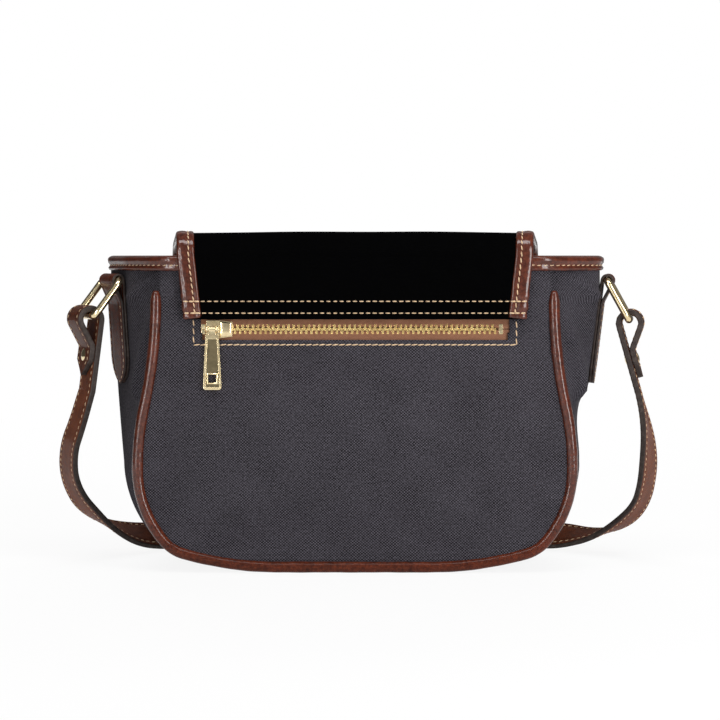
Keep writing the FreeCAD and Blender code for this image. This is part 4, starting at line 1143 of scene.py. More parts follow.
@dataclass
class PullPlate:
    """The sunk field of the zip's pull, and the square frame round its window."""

    across: float = -82.5
    deep: float = -41.8
    level: float = 141.8
    half_thickness: float = 0.95
    recess: float = 0.4
    top: float = 5.7
    middle: float = 15.0
    bottom: float = 33.6
    top_half: float = 2.7
    bottom_half: float = 4.0
    window_top: float = 26.2
    window_half: float = 2.3
    frame: float = 1.0

    def build(self) -> None:
        """Makes the dark field and the frame on both faces."""
        piece = PieceMesh("zip_pull_field", Finishes.BRONZE, Finishes.GOLD)
        low = self.window_top + 2 * self.window_half
        levels = np.array([self.top, self.middle, self.window_top, low, self.bottom])
        halves = np.interp(levels, (self.top, self.bottom), (self.top_half, self.bottom_half))
        inner = np.full_like(halves, self.window_half)
        across = np.stack([-halves, -inner, inner, halves], 1)
        kept = np.ones((len(levels) - 1, 3), bool)
        kept[2, 1] = False
        for facing in (-1, 1):
            floor = self.deep + facing * (self.half_thickness - self.recess + 0.03)
            grid = np.stack([self.across + across, np.full_like(across, floor),
                             np.repeat(self.level - levels[:, None], 4, 1)], -1)
            piece.add_grid(grid, grid[..., ::2], flipped=facing < 0, kept=kept)
            self.add_frame(piece, facing, self.level - (self.window_top + low) / 2)
        settle(piece.build(), "zip_pull", "gold_metal")

    def add_frame(self, piece: PieceMesh, facing: int, middle: float) -> None:
        """Adds the square frame of one face.

        Args:
            piece: The piece that it joins.
            facing: -1 for the outer face, 1 for the inner one.
            middle: Height of the window's middle.
        """
        inner, outer = self.window_half + 0.02, self.window_half + self.frame
        low = self.deep + facing * (self.half_thickness - self.recess)
        high = self.deep + facing * (self.half_thickness - 0.02)
        section = ((outer, low), (outer - 0.15, high), (inner + 0.15, high), (inner, low))
        turns = ((-1, -1), (1, -1), (1, 1), (-1, 1), (-1, -1))
        grid = np.array([[(self.across + right * reach, deep, middle + up * reach) for reach, deep in section]
                         for right, up in turns])
        places = np.stack(np.meshgrid(np.arange(5.0), np.arange(5.0)), -1)
        piece.add_grid(grid, places, closed=True, flipped=facing > 0, numbers=[1] * 4)


@dataclass
class SliderCrown:
    """The domed face of the zip's slider, in front of the pull's ears."""

    first: float = -78.2
    last: float = -71.5
    first_half: float = 4.7
    last_half: float = 3.8
    face: float = -40.1
    rise: float = 0.75
    sunk: float = 0.05
    level: float = 141.8

    def build(self) -> None:
        """Makes the dome."""
        shares = np.sin(np.linspace(-1, 1, 15) * math.pi / 2)
        across = (self.first + self.last) / 2 + (self.last - self.first) / 2 * shares
        halves = np.interp(across, (self.first, self.last), (self.first_half, self.last_half))
        height = np.sqrt(np.clip((1 - shares[:, None] ** 4) * (1 - shares[None] ** 4), 0, 1))
        deep = self.face + self.sunk - (self.rise + self.sunk) * height
        grid = np.stack([np.repeat(across[:, None], len(shares), 1), deep,
                         self.level + halves[:, None] * shares[None]], -1)
        piece = PieceMesh("zip_slider_crown", Finishes.GOLD)
        piece.add_grid(grid, grid[..., ::2])
        settle(piece.build(), "zip_slider", "gold_metal")


@dataclass
class ZipPocket:
    """The zip across the back panel with its tapes, chain, slider and pocket bag."""

    level: float = 141.8
    half_length: float = 95.0
    tape_width: float = 13.5
    tape_face: float = -37.9
    tape: float = 0.6
    slit: float = 2.4
    chain_half: float = 80.8
    close_run: float = 2.0
    close_gap: float = 0.08
    panel_face: float = -40.0
    frame_low: float = 132.8
    frame_high: float = 147.4
    frame_half: float = 93.4
    pouch_low: float = 46.8
    pouch_high: float = 156.5
    pouch_back: float = -36.9
    pouch_front: float = -34.2
    pouch_ease: float = 9.0
    pouch_slack: float = 0.1
    slot_half: float = 86.0
    slot_rise: float = 6.0
    pull: PullPlate = field(default_factory=PullPlate)
    crown: SliderCrown = field(default_factory=SliderCrown)

    def build(self) -> None:
        """Makes every piece of the zip pocket."""
        self.pull.build()
        self.crown.build()
        for name, side in (("upper", 1), ("lower", -1)):
            self.make_tape(name, side)
        self.make_pouch()
        self.make_frame()
        for node in ("zip_teeth_upper", "zip_teeth_lower", "zip_top_stop_upper", "zip_top_stop_lower",
                     "zip_bottom_stop", "zip_slider", "zip_pin", "zip_pull"):
            polish(node, Finishes.ZIP_METAL if "teeth" in node else Finishes.GOLD, 0.22)

    def make_tape(self, name: str, side: int) -> None:
        """Makes one woven tape, with the bead that its teeth grip.

        Args:
            name: Which tape.
            side: 1 above the chain, -1 below it.
        """
        across = np.linspace(-self.half_length, self.half_length, 160)
        out = np.array([0, 0.5, 1.0, 1.6, 2.4, 4, 7, 10, self.tape_width])
        bead = np.array([0.15, 0.4, 0.5, 0.4, 0.12, 0.0, 0.02, 0.02, 0.0])
        up = self.level + side * (self.slit / 2 + out)
        shut = eased((np.abs(across) - self.chain_half) / self.close_run)[None]
        closing = (self.slit / 2 - self.close_gap) * shut * np.exp(-out / 3)[:, None]
        waves = 0.06 * np.sin(across / 4.0)[None]
        grid = np.stack([np.repeat(across[None], len(out), 0), self.tape_face - bead[:, None] + waves,
                         up[:, None] - side * closing], -1)
        piece = PieceMesh(f"zip_tape_{name}_weave", Finishes.ZIP_TAPE)
        piece.add_grid(grid, np.stack(np.meshgrid(across, up), -1), flipped=side < 0)
        made = piece.build()
        thicken(made, self.tape)
        settle(made, "bag", "zip_tape", f"zip_tape_{name}")
        piece.hang(made, "stretched", "back_panel")

    def make_pouch(self) -> None:
        """Makes the flat pocket bag behind the zip."""
        across = np.linspace(-self.half_length, self.half_length, 60)
        up = np.linspace(self.pouch_low, self.pouch_high, 40)
        flat = np.stack(np.meshgrid(across, up), -1)
        edge = np.minimum(self.half_length - np.abs(flat[..., 0]),
                          np.minimum(flat[..., 1] - self.pouch_low, self.pouch_high - flat[..., 1]))
        puff = eased(edge / self.pouch_ease)
        middle, half = (self.pouch_back + self.pouch_front) / 2, (self.pouch_front - self.pouch_back) / 2
        slot = (np.abs(flat[..., 0]) < self.slot_half) & (np.abs(flat[..., 1] - self.level) < self.slot_rise)
        piece = PieceMesh("pocket_bag", Finishes.LINING)
        for side in (-1, 1):
            deep = middle + side * puff * (half - self.pouch_slack)
            kept = ~(slot[:-1, :-1] & slot[1:, 1:]) if side < 0 else None
            cut = flat + np.array([side * self.half_length, 0])
            piece.add_grid(np.stack([flat[..., 0], deep, flat[..., 1]], -1), cut, flipped=side > 0, kept=kept)
        made = piece.build()
        settle(made, "bag", "lining_cloth", "pocket_pouch")
        piece.hang(made, "hung", "zip_tape_upper", "zip_tape_lower")

    def make_frame(self) -> None:
        """Sews the frame of stitches round the window."""
        half, low, high = self.frame_half, self.frame_low, self.frame_high
        face = self.panel_face - 0.05
        corners = [(-half, face, high), (-half, face, low), (half, face, low), (half, face, high)]
        piece = PieceMesh("zip_frame_stitches", Finishes.THREAD)
        for run in zip(corners, corners[1:]):
            Seams.ZIP_FRAME.sew(piece, np.array(run), np.repeat(-Y_AXIS[None], 2, 0))
        settle(piece.build(), "bag")


def polish(node: str, finish: Finish, edge: float) -> None:
    """Gives a metal solid its finish and eases its edges.

    Args:
        node: The solid.
        finish: Its finish.
        edge: Width of the eased edges in millimetres.
    """
    item = frame["nodes"][node]
    item.data.materials.clear()
    item.data.materials.append(finish.material())
    weld = item.modifiers.new("weld", "WELD")
    weld.merge_threshold = WELD_REACH
    ease = item.modifiers.new("ease", "BEVEL")
    ease.width = edge * MM
    ease.segments = 2
    ease.limit_method = "ANGLE"
    ease.angle_limit = EASE_ANGLE
    item.data.polygons.foreach_set("use_smooth", np.ones(len(item.data.polygons), bool))
    smooth = item.modifiers.new("normals", "WEIGHTED_NORMAL")
    smooth.keep_sharp = True


@dataclass
class Flap:
    """The flap: black cloth from the back panel over the mouth and down the front, bound in leather."""

    back: float = -43.2
    front: float = 46.4
    fold: float = 184.4
    ridge: float = 197.5
    front_ridge: float = 193.0
    low: float = 46.0
    anchor_low: float = 147.6
    anchor_half: float = 98.5
    back_half: float = 102.5
    front_half: float = 113.0
    flare: float = 6.2
    corner: float = 62.0
    sheet: float = 1.9
    band: float = 10.0
    leather: float = 1.0
    stitch_inset: float = 6.6
    end_share: float = 0.86
    end_swell: float = 0.75
    row_hold: float = 1.1
    row_reach: float = 1.5
    edge_roll: float = 0.8
    unevenness: float = 0.35
    crown: float = 0.8
    rows: tuple[float, float] = (158.0, 151.2)
    blend_start: float = -40.5
    blend_end: float = -30.0

    def profile(self) -> np.ndarray:
        """Side profile of the flap's outer face.

        Returns:
            Depth and height of points from the anchor's lower edge to the front's lower edge.
        """
        rise = self.ridge - self.fold
        turns = np.radians(np.linspace(0, 90, 13))
        over = np.stack([self.back + rise * (1 - np.cos(turns)), self.fold + rise * np.sin(turns)], 1)
        fall = (self.front_ridge - self.fold) * np.sin(turns[::-1])
        down = np.stack([self.front - 1.4 * rise * (1 - np.cos(turns[::-1])), self.fold + fall], 1)
        top = np.linspace(over[-1], down[0], 26)[1:-1]
        up = np.linspace((self.back, self.anchor_low), over[0], 20)[:-1]
        hung = self.fold + (self.low - self.fold) * (1 - (1 - np.linspace(0, 1, 70)[1:]) ** 1.5)
        return np.concatenate([up, over, top, down, np.stack([np.full_like(hung, self.front), hung], 1)])

    def half_width(self, deep: float, up: float) -> float:
        """Half of the flap's width at one place of its profile.

        Args:
            deep: The place's depth.
            up: Its height.

        Returns:
            The half width in millimetres.
        """
        if deep < self.back + 1e-6 and up < self.fold:
            share = (up - self.anchor_low) / (self.fold - self.anchor_low)
            return self.anchor_half + (self.back_half - self.anchor_half) * share
        if up >= self.fold:
            share = (deep - self.back) / (self.front - self.back)
            return self.back_half + (self.front_half - self.back_half) * share
        slope = math.tan(math.radians(self.flare))
        middle = self.low + self.corner
        centre = self.front_half + (self.fold - middle) * slope - self.corner / math.cos(math.radians(self.flare))
        straight = self.front_half + (self.fold - up) * slope
        if up > middle + self.corner * math.sin(math.radians(self.flare)):
            return straight
        return centre + math.sqrt(max(self.corner ** 2 - (middle - up) ** 2, 0))

    def build(self) -> None:
        """Makes every piece of the flap."""
        profile = self.profile()
        halves = np.array([self.half_width(*place) for place in profile])
        along = tangents(profile)
        outs = np.stack([np.zeros(len(profile)), -along[:, 1], along[:, 0]], 1)
        self.make_sheet("flap_cloth", profile, halves, outs, 0.0, Finishes.FLAP_CLOTH,
                        ("flap_panel", "flap_anchor"), False)
        self.make_sheet("flap_backing", profile, halves, outs, -self.sheet, Finishes.LINING,
                        ("flap_lining",), True)
        self.make_band(profile, halves, outs)
        self.make_rows()
        for node in ("snap_cup", "snap_magnet", "snap_stud"):
            polish(node, Finishes.STEEL, 0.2)

    def bend(self, piece: bpy.types.Object) -> None:
        """Bakes the piece's placement into its mesh."""
        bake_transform(piece)

    def make_sheet(self, name: str, profile: np.ndarray, halves: np.ndarray, outs: np.ndarray, offset: float,
                   finish: Finish, nodes: Sequence[str], flipped: bool) -> None:
        """Makes one layer of the flap.

        Args:
            name: The piece's name.
            profile: The flap's side profile.
            halves: Half widths along it.
            outs: Outward directions along it.
            offset: How far out from the outer face the layer lies.
            finish: Its finish.
            nodes: The solids that it replaces.
            flipped: Whether its face looks inwards.
        """
        shares = np.linspace(-1, 1, 61)
        across = shares[None] * (halves - self.leather)[:, None]
        along = np.repeat(run_lengths(profile)[:, None], len(shares), 1)
        base = np.stack([np.zeros(len(profile)), profile[:, 0], profile[:, 1]], 1)
        over = eased((profile[:, 1] - 160) / 25)[:, None]
        wave = self.unevenness * ripple(across, along, 2.0) * (1 - shares[None] ** 6)
        crown = self.crown * over * (1 - shares[None] ** 2) * (profile[:, 1] > self.fold)[:, None]
        grid = base[:, None] + X_AXIS * across[..., None] + outs[:, None] * (wave + crown + offset)[..., None]
        piece = PieceMesh(name, finish)
        piece.add_grid(grid, np.stack([across, along], -1), flipped=flipped)
        made = piece.build()
        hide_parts(*nodes)
        self.bend(made)
        piece.hang(made, "draped", "mouth_binding", "front_panel")

    def edge_line(self, profile: np.ndarray, halves: np.ndarray, outs: np.ndarray) -> tuple[np.ndarray, ...]:
        """The flap's edge, from the anchor's lower left corner round the front to its lower right corner.

        Args:
            profile: The flap's side profile.
            halves: Half widths along it.
            outs: Outward directions along it.

        Returns:
            Points on the middle of the sheet's edge, directions into the sheet, and outward directions.
        """
        left = np.stack([-halves, profile[:, 0], profile[:, 1]], 1)
        across = np.linspace(-halves[-1], halves[-1], 30)[1:-1]
        bottom = np.stack([across, np.full_like(across, self.front), np.full_like(across, self.low)], 1)
        right = left[::-1] * np.array([-1, 1, 1])
        points = np.concatenate([left, bottom, right])
        normals = np.concatenate([outs, np.repeat(outs[-1:], len(across), 0), outs[::-1]])
        points = points - normals * (self.sheet / 2)
        points, normals = resampled(points, 2.0, normals)
        normals = unit(normals)
        return points, unit(np.cross(tangents(points), normals)), normals

    def make_band(self, profile: np.ndarray, halves: np.ndarray, outs: np.ndarray) -> None:
        """Makes the leather folded round the flap's edge, with its stitches.

        Args:
            profile: The flap's side profile.
            halves: Half widths along it.
            outs: Outward directions along it.
        """
        points, inward, normals = self.edge_line(profile, halves, outs)
        if inward[0] @ X_AXIS < 0:
            inward = -inward
        thick = self.sheet / 2 + self.leather
        turn = np.linspace(-90, 90, 7)
        cap = [(0.9 - 1.2 * math.cos(math.radians(a)), thick * math.sin(math.radians(a))) for a in turn]
        leaf = [(2.2, 0.32), (3.6, 0.4), (5.2, 0.22), (self.stitch_inset, -0.2), (8.0, 0.16), (9.0, 0.1),
                (self.band - 0.4, -0.15), (self.band, -0.6)]
        section = np.array(cap + [(across, thick + lift) for across, lift in leaf]
                           + [(across, -thick - lift) for across, lift in leaf[::-1]])
        grid, places = swept(section, points, inward, normals)
        grid += self.rolled(points, inward, normals, section)
        middles = grid[[0, -1]].mean(1, keepdims=True)
        rims = middles + (grid[[0, -1]] - middles) * self.end_share
        grid[0] = 0.6 * grid[0] + 0.4 * grid[1]
        grid[-1] = 0.6 * grid[-1] + 0.4 * grid[-2]
        grid = np.concatenate([rims[:1], grid, rims[1:]])
        places = np.concatenate([places[:1] - np.array([0, 1]), places, places[-1:] + np.array([0, 1])])
        piece = PieceMesh("flap_binding_fold", Finishes.TRIM, Finishes.THREAD)
        piece.add_grid(grid, places, closed=True, capped=True)
        for sign in (1, -1):
            row = points + inward * self.stitch_inset + normals * sign * (thick - 0.1)
            Seams.FLAP_EDGE.sew(piece, row[1:-1], normals[1:-1] * sign, 1)
        made = piece.build()
        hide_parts("flap_binding", "anchor_binding_left", "anchor_binding_right")
        self.bend(made)

    def rolled(self, points: np.ndarray, inward: np.ndarray, normals: np.ndarray,
               section: np.ndarray) -> np.ndarray:
        """How the binding's ends swell between the rows that hold them.

        Args:
            points: The edge's points.
            inward: Directions into the sheet.
            normals: Outward directions.
            section: The binding's section.

        Returns:
            The shift of each point of the swept binding.
        """
        up = points[:, 2]
        held = sum(np.exp(-((up - row) / self.row_reach) ** 2) for row in self.rows)
        near = np.where(points[:, 1] < self.back + self.sheet, eased((self.rows[0] + 7 - up) / 6), 0.0)
        swell = near * (self.end_swell - self.row_hold * held)
        place = np.clip(section[:, 0] / self.band, 0, 1)
        groove = 1 - np.exp(-((section[:, 0] - self.stitch_inset) / 1.1) ** 2)
        outer = np.where(section[:, 1] > 0, np.sqrt(np.clip(np.sin(math.pi * place), 0, 1)) * groove, 0.0)
        edge = np.clip(1 - section[:, 0] / 3, 0, 1)
        out = swell[:, None, None] * outer[None, :, None] * normals[:, None]
        return out - self.edge_roll * swell[:, None, None] * edge[None, :, None] * inward[:, None]

    def make_rows(self) -> None:
        """Sews the two rows that hold the flap to the back panel, heavier where they cross the leather."""
        piece = PieceMesh("flap_anchor_stitches", Finishes.THREAD)
        for up in self.rows:
            half = self.half_width(self.back, up)
            inner, outer = half - self.band, half - 0.5
            cloth, leather = self.back - 0.1, self.back - self.leather - 0.15
            spans = [(-inner, inner, cloth, Seams.ANCHOR), (-outer, -inner, leather, Seams.ANCHOR_END),
                     (inner, outer, leather, Seams.ANCHOR_END)]
            for first, last, deep, seam in spans:
                points = np.array([(first, deep, up), (last, deep, up)])
                seam.sew(piece, points, np.repeat(-Y_AXIS[None], 2, 0))
        settle(piece.build(), "bag")


def leather_section(half: float, thick: float, layers: int) -> tuple[np.ndarray, list[int]]:
    """Section of a flat strap with rounded, painted edges.

    Args:
        half: Half of its width.
        thick: Half of its thickness.
        layers: How many layers its edge shows.

    Returns:
        The section's points, and the finish of each span: 0 and 2 for the faces, 1 for the edges.
    """
    shares = (-1, -0.9, -0.76, -0.72, -0.68, -0.4, 0, 0.4, 0.68, 0.72, 0.76, 0.9, 1)
    flat = half - 0.7
    dips = {0.72: -0.16, 0.9: 0.05, 1: -0.1}
    face = [(share * flat, thick + dips.get(abs(share), 0.0)) for share in shares]
    edge = [(half - 0.2, thick * 0.72), (half, thick * 0.35)]
    if layers > 1:
        edge += [(half - 0.22, 0.0)]
    edge += [(half, -thick * 0.35), (half - 0.2, -thick * 0.72)]
    section = face + edge + [(-x, -z) for x, z in face] + [(-x, -z) for x, z in edge]
    spans = len(face) - 1
    numbers = [0] * spans + [1] * (len(edge) + 1) + [2] * spans + [1] * (len(edge) + 1)
    return np.array(section), numbers


@dataclass(frozen=True)
class SideFrame:
    """How one side's tab, ring and strap end face."""

    side: Side
    yaw: float
    pivot: np.ndarray
    ring_lean: float
    arm_lean: float
    spread: float
    arm_reach: float
    arm_bend: float
    flip: tuple[float, float]
    rise: float = 100.86
    ring_length: float = 26.4
    loop_drop: float = 2.2

    def axes(self, lean: float) -> np.ndarray:
        """Outward, sideways and upward directions of a frame that leans.

        Args:
            lean: Degrees by which its upper end leans outwards.

        Returns:
            The three directions as rows.
        """
        facing = math.radians(-self.yaw if self.side is Side.RIGHT else 180 + self.yaw)
        out = np.array([math.cos(facing), math.sin(facing), 0])
        across = np.array([-math.sin(facing), math.cos(facing), 0])
        turn = math.radians(lean)
        return np.stack([out * math.cos(turn) - Z_AXIS * math.sin(turn), across,
                         out * math.sin(turn) + Z_AXIS * math.cos(turn)])

    def tab_axes(self) -> np.ndarray:
        """Directions of the tab, which lies against the gusset."""
        slope = self.spread / self.rise
        return self.axes(math.degrees(math.atan(slope * math.cos(math.radians(self.yaw)))))

    def loop_frame(self) -> tuple[np.ndarray, np.ndarray]:
        """Frame of the strap's folded end.

        Returns:
            Its origin, and its outward, sideways and upward directions as rows.
        """
        ring = self.axes(-self.ring_lean)
        bar = self.pivot - ring[2] * self.ring_length
        arm = self.axes(-self.arm_lean)
        return bar - arm[2] * self.loop_drop, arm


def folded(bore: float, leather: float, throat: float, inner: float, outer: float, step: float) -> np.ndarray:
    """Middle line of leather folded over a bar: up the outer leg, round the bar and down the inner leg.

    Args:
        bore: Radius of the eye.
        leather: Thickness of the leather.
        throat: Depth at which the two legs meet.
        inner: Depth of the inner leg's end.
        outer: Depth of the outer leg's end.
        step: Distance between the points.

    Returns:
        Points, out and up from the eye's middle.
    """
    radius = bore + leather / 2
    bend = 2 * math.atan(bore / throat)
    start = np.array([radius * math.cos(bend), -radius * math.sin(bend)])
    slide = np.array([-math.sin(bend), -math.cos(bend)])
    leg = leather / 2 - bore
    meet = start + slide * ((start[0] - leg) / math.sin(bend))
    turns = np.linspace(-bend, math.pi, 24)
    loop = np.stack([radius * np.cos(turns), radius * np.sin(turns)], 1)
    bottom = np.linspace((leg, -outer), meet + np.array([0, -3.0]), 8)
    climb = np.linspace(meet + np.array([0, -3.0]), meet, 3)[1:]
    rise = np.linspace(meet, start, 6)[1:-1]
    down = np.linspace((-radius, 0), (-radius, -inner), 16)[1:]
    soft = rounded(np.concatenate([bottom, climb, rise]), 2)
    return resampled(np.concatenate([soft, loop, down]), step)[0]


@dataclass
class SideTab:
    """A leather tongue folded over the ring's bar and sewn to the gusset."""

    place: SideFrame
    width: float = 24.0
    leather: float = 1.7
    bore: float = 2.35
    throat: float = 13.0
    length: float = 62.0
    tip: float = 17.0
    stitch_inset: float = 2.4
    cross_level: float = -8.6
    cross_half: float = 9.0
    ring_gain: float = 0.2

    def half_width(self, up: np.ndarray) -> np.ndarray:
        """Half of the tongue's width, down to its rounded point.

        Args:
            up: Heights above the middle of the eye.

        Returns:
            The half width at each height.
        """
        radius = self.width / 4 + self.tip ** 2 / self.width
        below = np.clip(self.tip - self.length - up, 0, self.tip)
        return self.width / 2 - radius + np.sqrt(radius ** 2 - below ** 2)

    def build(self) -> None:
        """Makes the tab and its stitches."""
        name = self.place.side.name.lower()
        axes = self.place.tab_axes()
        flat = folded(self.bore, self.leather, self.throat, self.length, self.length, 1.2)
        line_points = self.place.pivot + flat[:, :1] * axes[0] + flat[:, 1:] * axes[2]
        along = tangents(line_points)
        widths = np.repeat(axes[1][None], len(flat), 0)
        outs = -np.cross(along, widths)
        halves = self.half_width(flat[:, 1])
        section, numbers = leather_section(self.width / 2, self.leather / 2, 1)
        shares = np.maximum(halves / (self.width / 2), 0.05)
        grid, places = swept(section, line_points, widths, outs, shares)
        piece = PieceMesh(f"{name}_tab_leather", Finishes.TAB, Finishes.EDGE, Finishes.TAB, Finishes.THREAD)
        piece.add_grid(grid, places, closed=True, capped=True, numbers=numbers)
        sewn = (flat[:, 1] < -self.throat) & (np.arange(len(flat)) < len(flat) // 2)
        lift = self.leather / 2 - 0.1
        face = outs * (1 if outs[0] @ axes[0] > 0 else -1)
        for sign in (-1, 1):
            inset = np.maximum(halves - self.stitch_inset, 0.2)[:, None]
            row = line_points + widths * sign * inset + face * lift
            Seams.TAB_EDGE.sew(piece, row[sewn], face[sewn], 3)
        middle = int(np.argmin(np.abs(flat[:len(flat) // 2, 1] - self.cross_level)))
        out = face[middle]
        ends = np.array([line_points[middle] + axes[1] * sign * self.cross_half + out * lift for sign in (-1, 1)])
        Seams.TAB_CROSS.sew(piece, ends, np.repeat(out[None], 2, 0), 3)
        settle(piece.build(), "bag", "brown_leather", f"{name}_tab")
        polish(f"{name}_ring", Finishes.GOLD, 0.05)
        stout = frame["nodes"][f"{name}_ring"].modifiers.new("stout", "DISPLACE")
        stout.strength, stout.mid_level = self.ring_gain * MM, 0.0


@dataclass
class Strap:
    """The leather strap from ring to ring, which rests on the floor in front of the bag."""

    left: SideFrame
    right: SideFrame
    width: float = 22.0
    thickness: float = 3.5
    bore: float = 4.8
    throat: float = 15.0
    tail: float = 33.0
    tip: float = 9.0
    away: float = 58.0
    turn: float = 33.0
    turn_share: float = 0.35
    ease: float = 18.0
    tilt: float = 36.0
    floor_clear: float = 0.6
    settle_steps: int = 8
    stitch_inset: float = 3.0

    def arm(self, place: SideFrame, start: np.ndarray, down: np.ndarray) -> tuple[np.ndarray, np.ndarray]:
        """Middle line of one arm from its folded end to the floor.

        Args:
            place: The side's frame.
            start: Where the folded end stops.
            down: Its direction there.

        Returns:
            The line's points, and the twist at each in degrees.
        """
        side = place.side.value
        tilt = math.radians(self.tilt)
        floor = self.width / 2 * math.sin(tilt) + self.thickness / 2 * math.cos(tilt) + self.floor_clear
        bend = place.arm_bend
        widest = np.array([side * place.arm_reach, 0, floor + bend])
        pull = np.linalg.norm(start - widest) / 3
        knots = np.array([start, start + down * pull, widest + Z_AXIS * pull, widest])
        knots[:, 1] = 0
        share = np.linspace(0, 1, 28, endpoint=False)[:, None]
        fall = ((1 - share) ** 3 * knots[0] + 3 * share * (1 - share) ** 2 * knots[1]
                + 3 * share ** 2 * (1 - share) * knots[2] + share ** 3 * knots[3])
        turns = np.linspace(0, math.pi / 2, 22)[:, None]
        sweep = widest + bend * np.concatenate([-side * (1 - np.cos(turns)), 0 * turns, -np.sin(turns)], 1)
        landed = sweep[-1:] - X_AXIS * (side * 1.5 * self.ease)
        points = rounded(resampled(np.concatenate([fall, sweep, landed]), self.ease)[0], 3)
        lengths = run_lengths(points)
        share = lengths / lengths[-1]
        points[:, 1] = start[1] + (self.away - start[1]) * eased(share)
        turned = eased(share / self.turn_share)
        laid = eased((share - place.flip[0]) / (place.flip[1] - place.flip[0]))
        return points, place.yaw + (self.turn - place.yaw) * turned - (self.turn + self.tilt) * laid

    def half_line(self, place: SideFrame) -> tuple[np.ndarray, ...]:
        """One half of the strap, from the tail's tip to the floor.

        Args:
            place: The side's frame.

        Returns:
            Points, directions across, and the share of the width kept at each.
        """
        side = place.side.value
        origin, axes = place.loop_frame()
        flat = folded(self.bore, self.thickness, self.throat, self.tail + self.tip, self.tail, 1.5)
        loop = origin + flat[:, :1] * axes[0] + flat[:, 1:] * axes[2]
        across = np.repeat((axes[1] * side)[None], len(loop), 0)
        half = np.arange(len(flat)) < len(flat) // 2
        shares = np.where(half, np.clip((flat[:, 1] + self.tail) / self.tip, 0.04, 1), 1.0)
        points, twists = self.arm(place, loop[-1], -axes[2])
        along = tangents(points)
        along[-1] = -side * X_AXIS
        level = unit(Y_AXIS - along * (along @ Y_AXIS)[:, None])
        out = unit(np.cross(along, level) * side)
        turn = np.radians(twists)[:, None]
        widths = level * np.cos(turn) + out * np.sin(turn)
        settled = eased(np.arange(len(points)) / self.settle_steps)[:, None]
        widths = unit(across[-1] * (1 - settled) + widths * settled)
        line_points = np.concatenate([loop, points[1:]])
        widths = np.concatenate([across, widths[1:]])
        shares = np.concatenate([shares, np.ones(len(points) - 1)])
        return line_points, widths, shares

    def build(self) -> None:
        """Makes the strap and its stitches, and gives its rivets their finish."""
        right, left = self.half_line(self.right), self.half_line(self.left)
        floor = np.linspace(right[0][-1], left[0][-1], 40)[1:-1]
        flat = np.repeat(right[1][-1:], len(floor), 0)
        points = np.concatenate([right[0], floor, left[0][::-1]])
        widths = np.concatenate([right[1], flat, left[1][::-1]])
        shares = np.concatenate([right[2], np.ones(len(floor)), left[2][::-1]])
        outs = unit(np.cross(tangents(points), widths))
        widths = unit(np.cross(outs, tangents(points)))
        section, numbers = leather_section(self.width / 2, self.thickness / 2, 2)
        grid, places = swept(section, points, widths, outs, shares)
        # The inner face takes the darker leather, which is painted shade.
        piece = PieceMesh("strap_leather", Finishes.STRAP, Finishes.EDGE, Finishes.STRAP_INNER_PAINTED_SHADE, Finishes.THREAD)
        piece.add_grid(grid, places, closed=True, capped=True, numbers=numbers)
        for sign in (-1, 1):
            for face in (-1, 1):
                inset = np.maximum(shares * self.width / 2 - self.stitch_inset, 0.1)[:, None]
                row = points + widths * sign * inset + outs * face * (self.thickness / 2 - 0.1)
                Seams.STRAP_EDGE.sew(piece, row[4:-4], outs[4:-4] * face, 3)
        settle(piece.build(), "strap", "strap_leather", "strap")
        LOG.info("strap: %.0f mm along its middle", run_lengths(points)[-1])
        for node in ("left_rivet", "right_rivet"):
            polish(node, Finishes.GOLD, 0.1)


@dataclass(frozen=True)
class Lamp:
    """A soft lamp: its place, size and target in millimetres, and its power in watts.

    Shiny surfaces show it where it is mirrored, and it lights dull ones where it is spread.
    """

    name: str
    place: tuple[float, float, float]
    size: tuple[float, float]
    power: float
    target: tuple[float, float, float] = (0, 0, 410)
    mirrored: bool = True
    spread: bool = True


@dataclass(frozen=True)
class Card:
    """A grey card that stands round the bag, or hangs level above it where it is overhead.

    Its place and width are in millimetres, and its turn from facing the camera is in degrees.
    """

    name: str
    place: tuple[float, float]
    width: float
    grey: float
    turn: float = 0.0
    overhead: bool = False


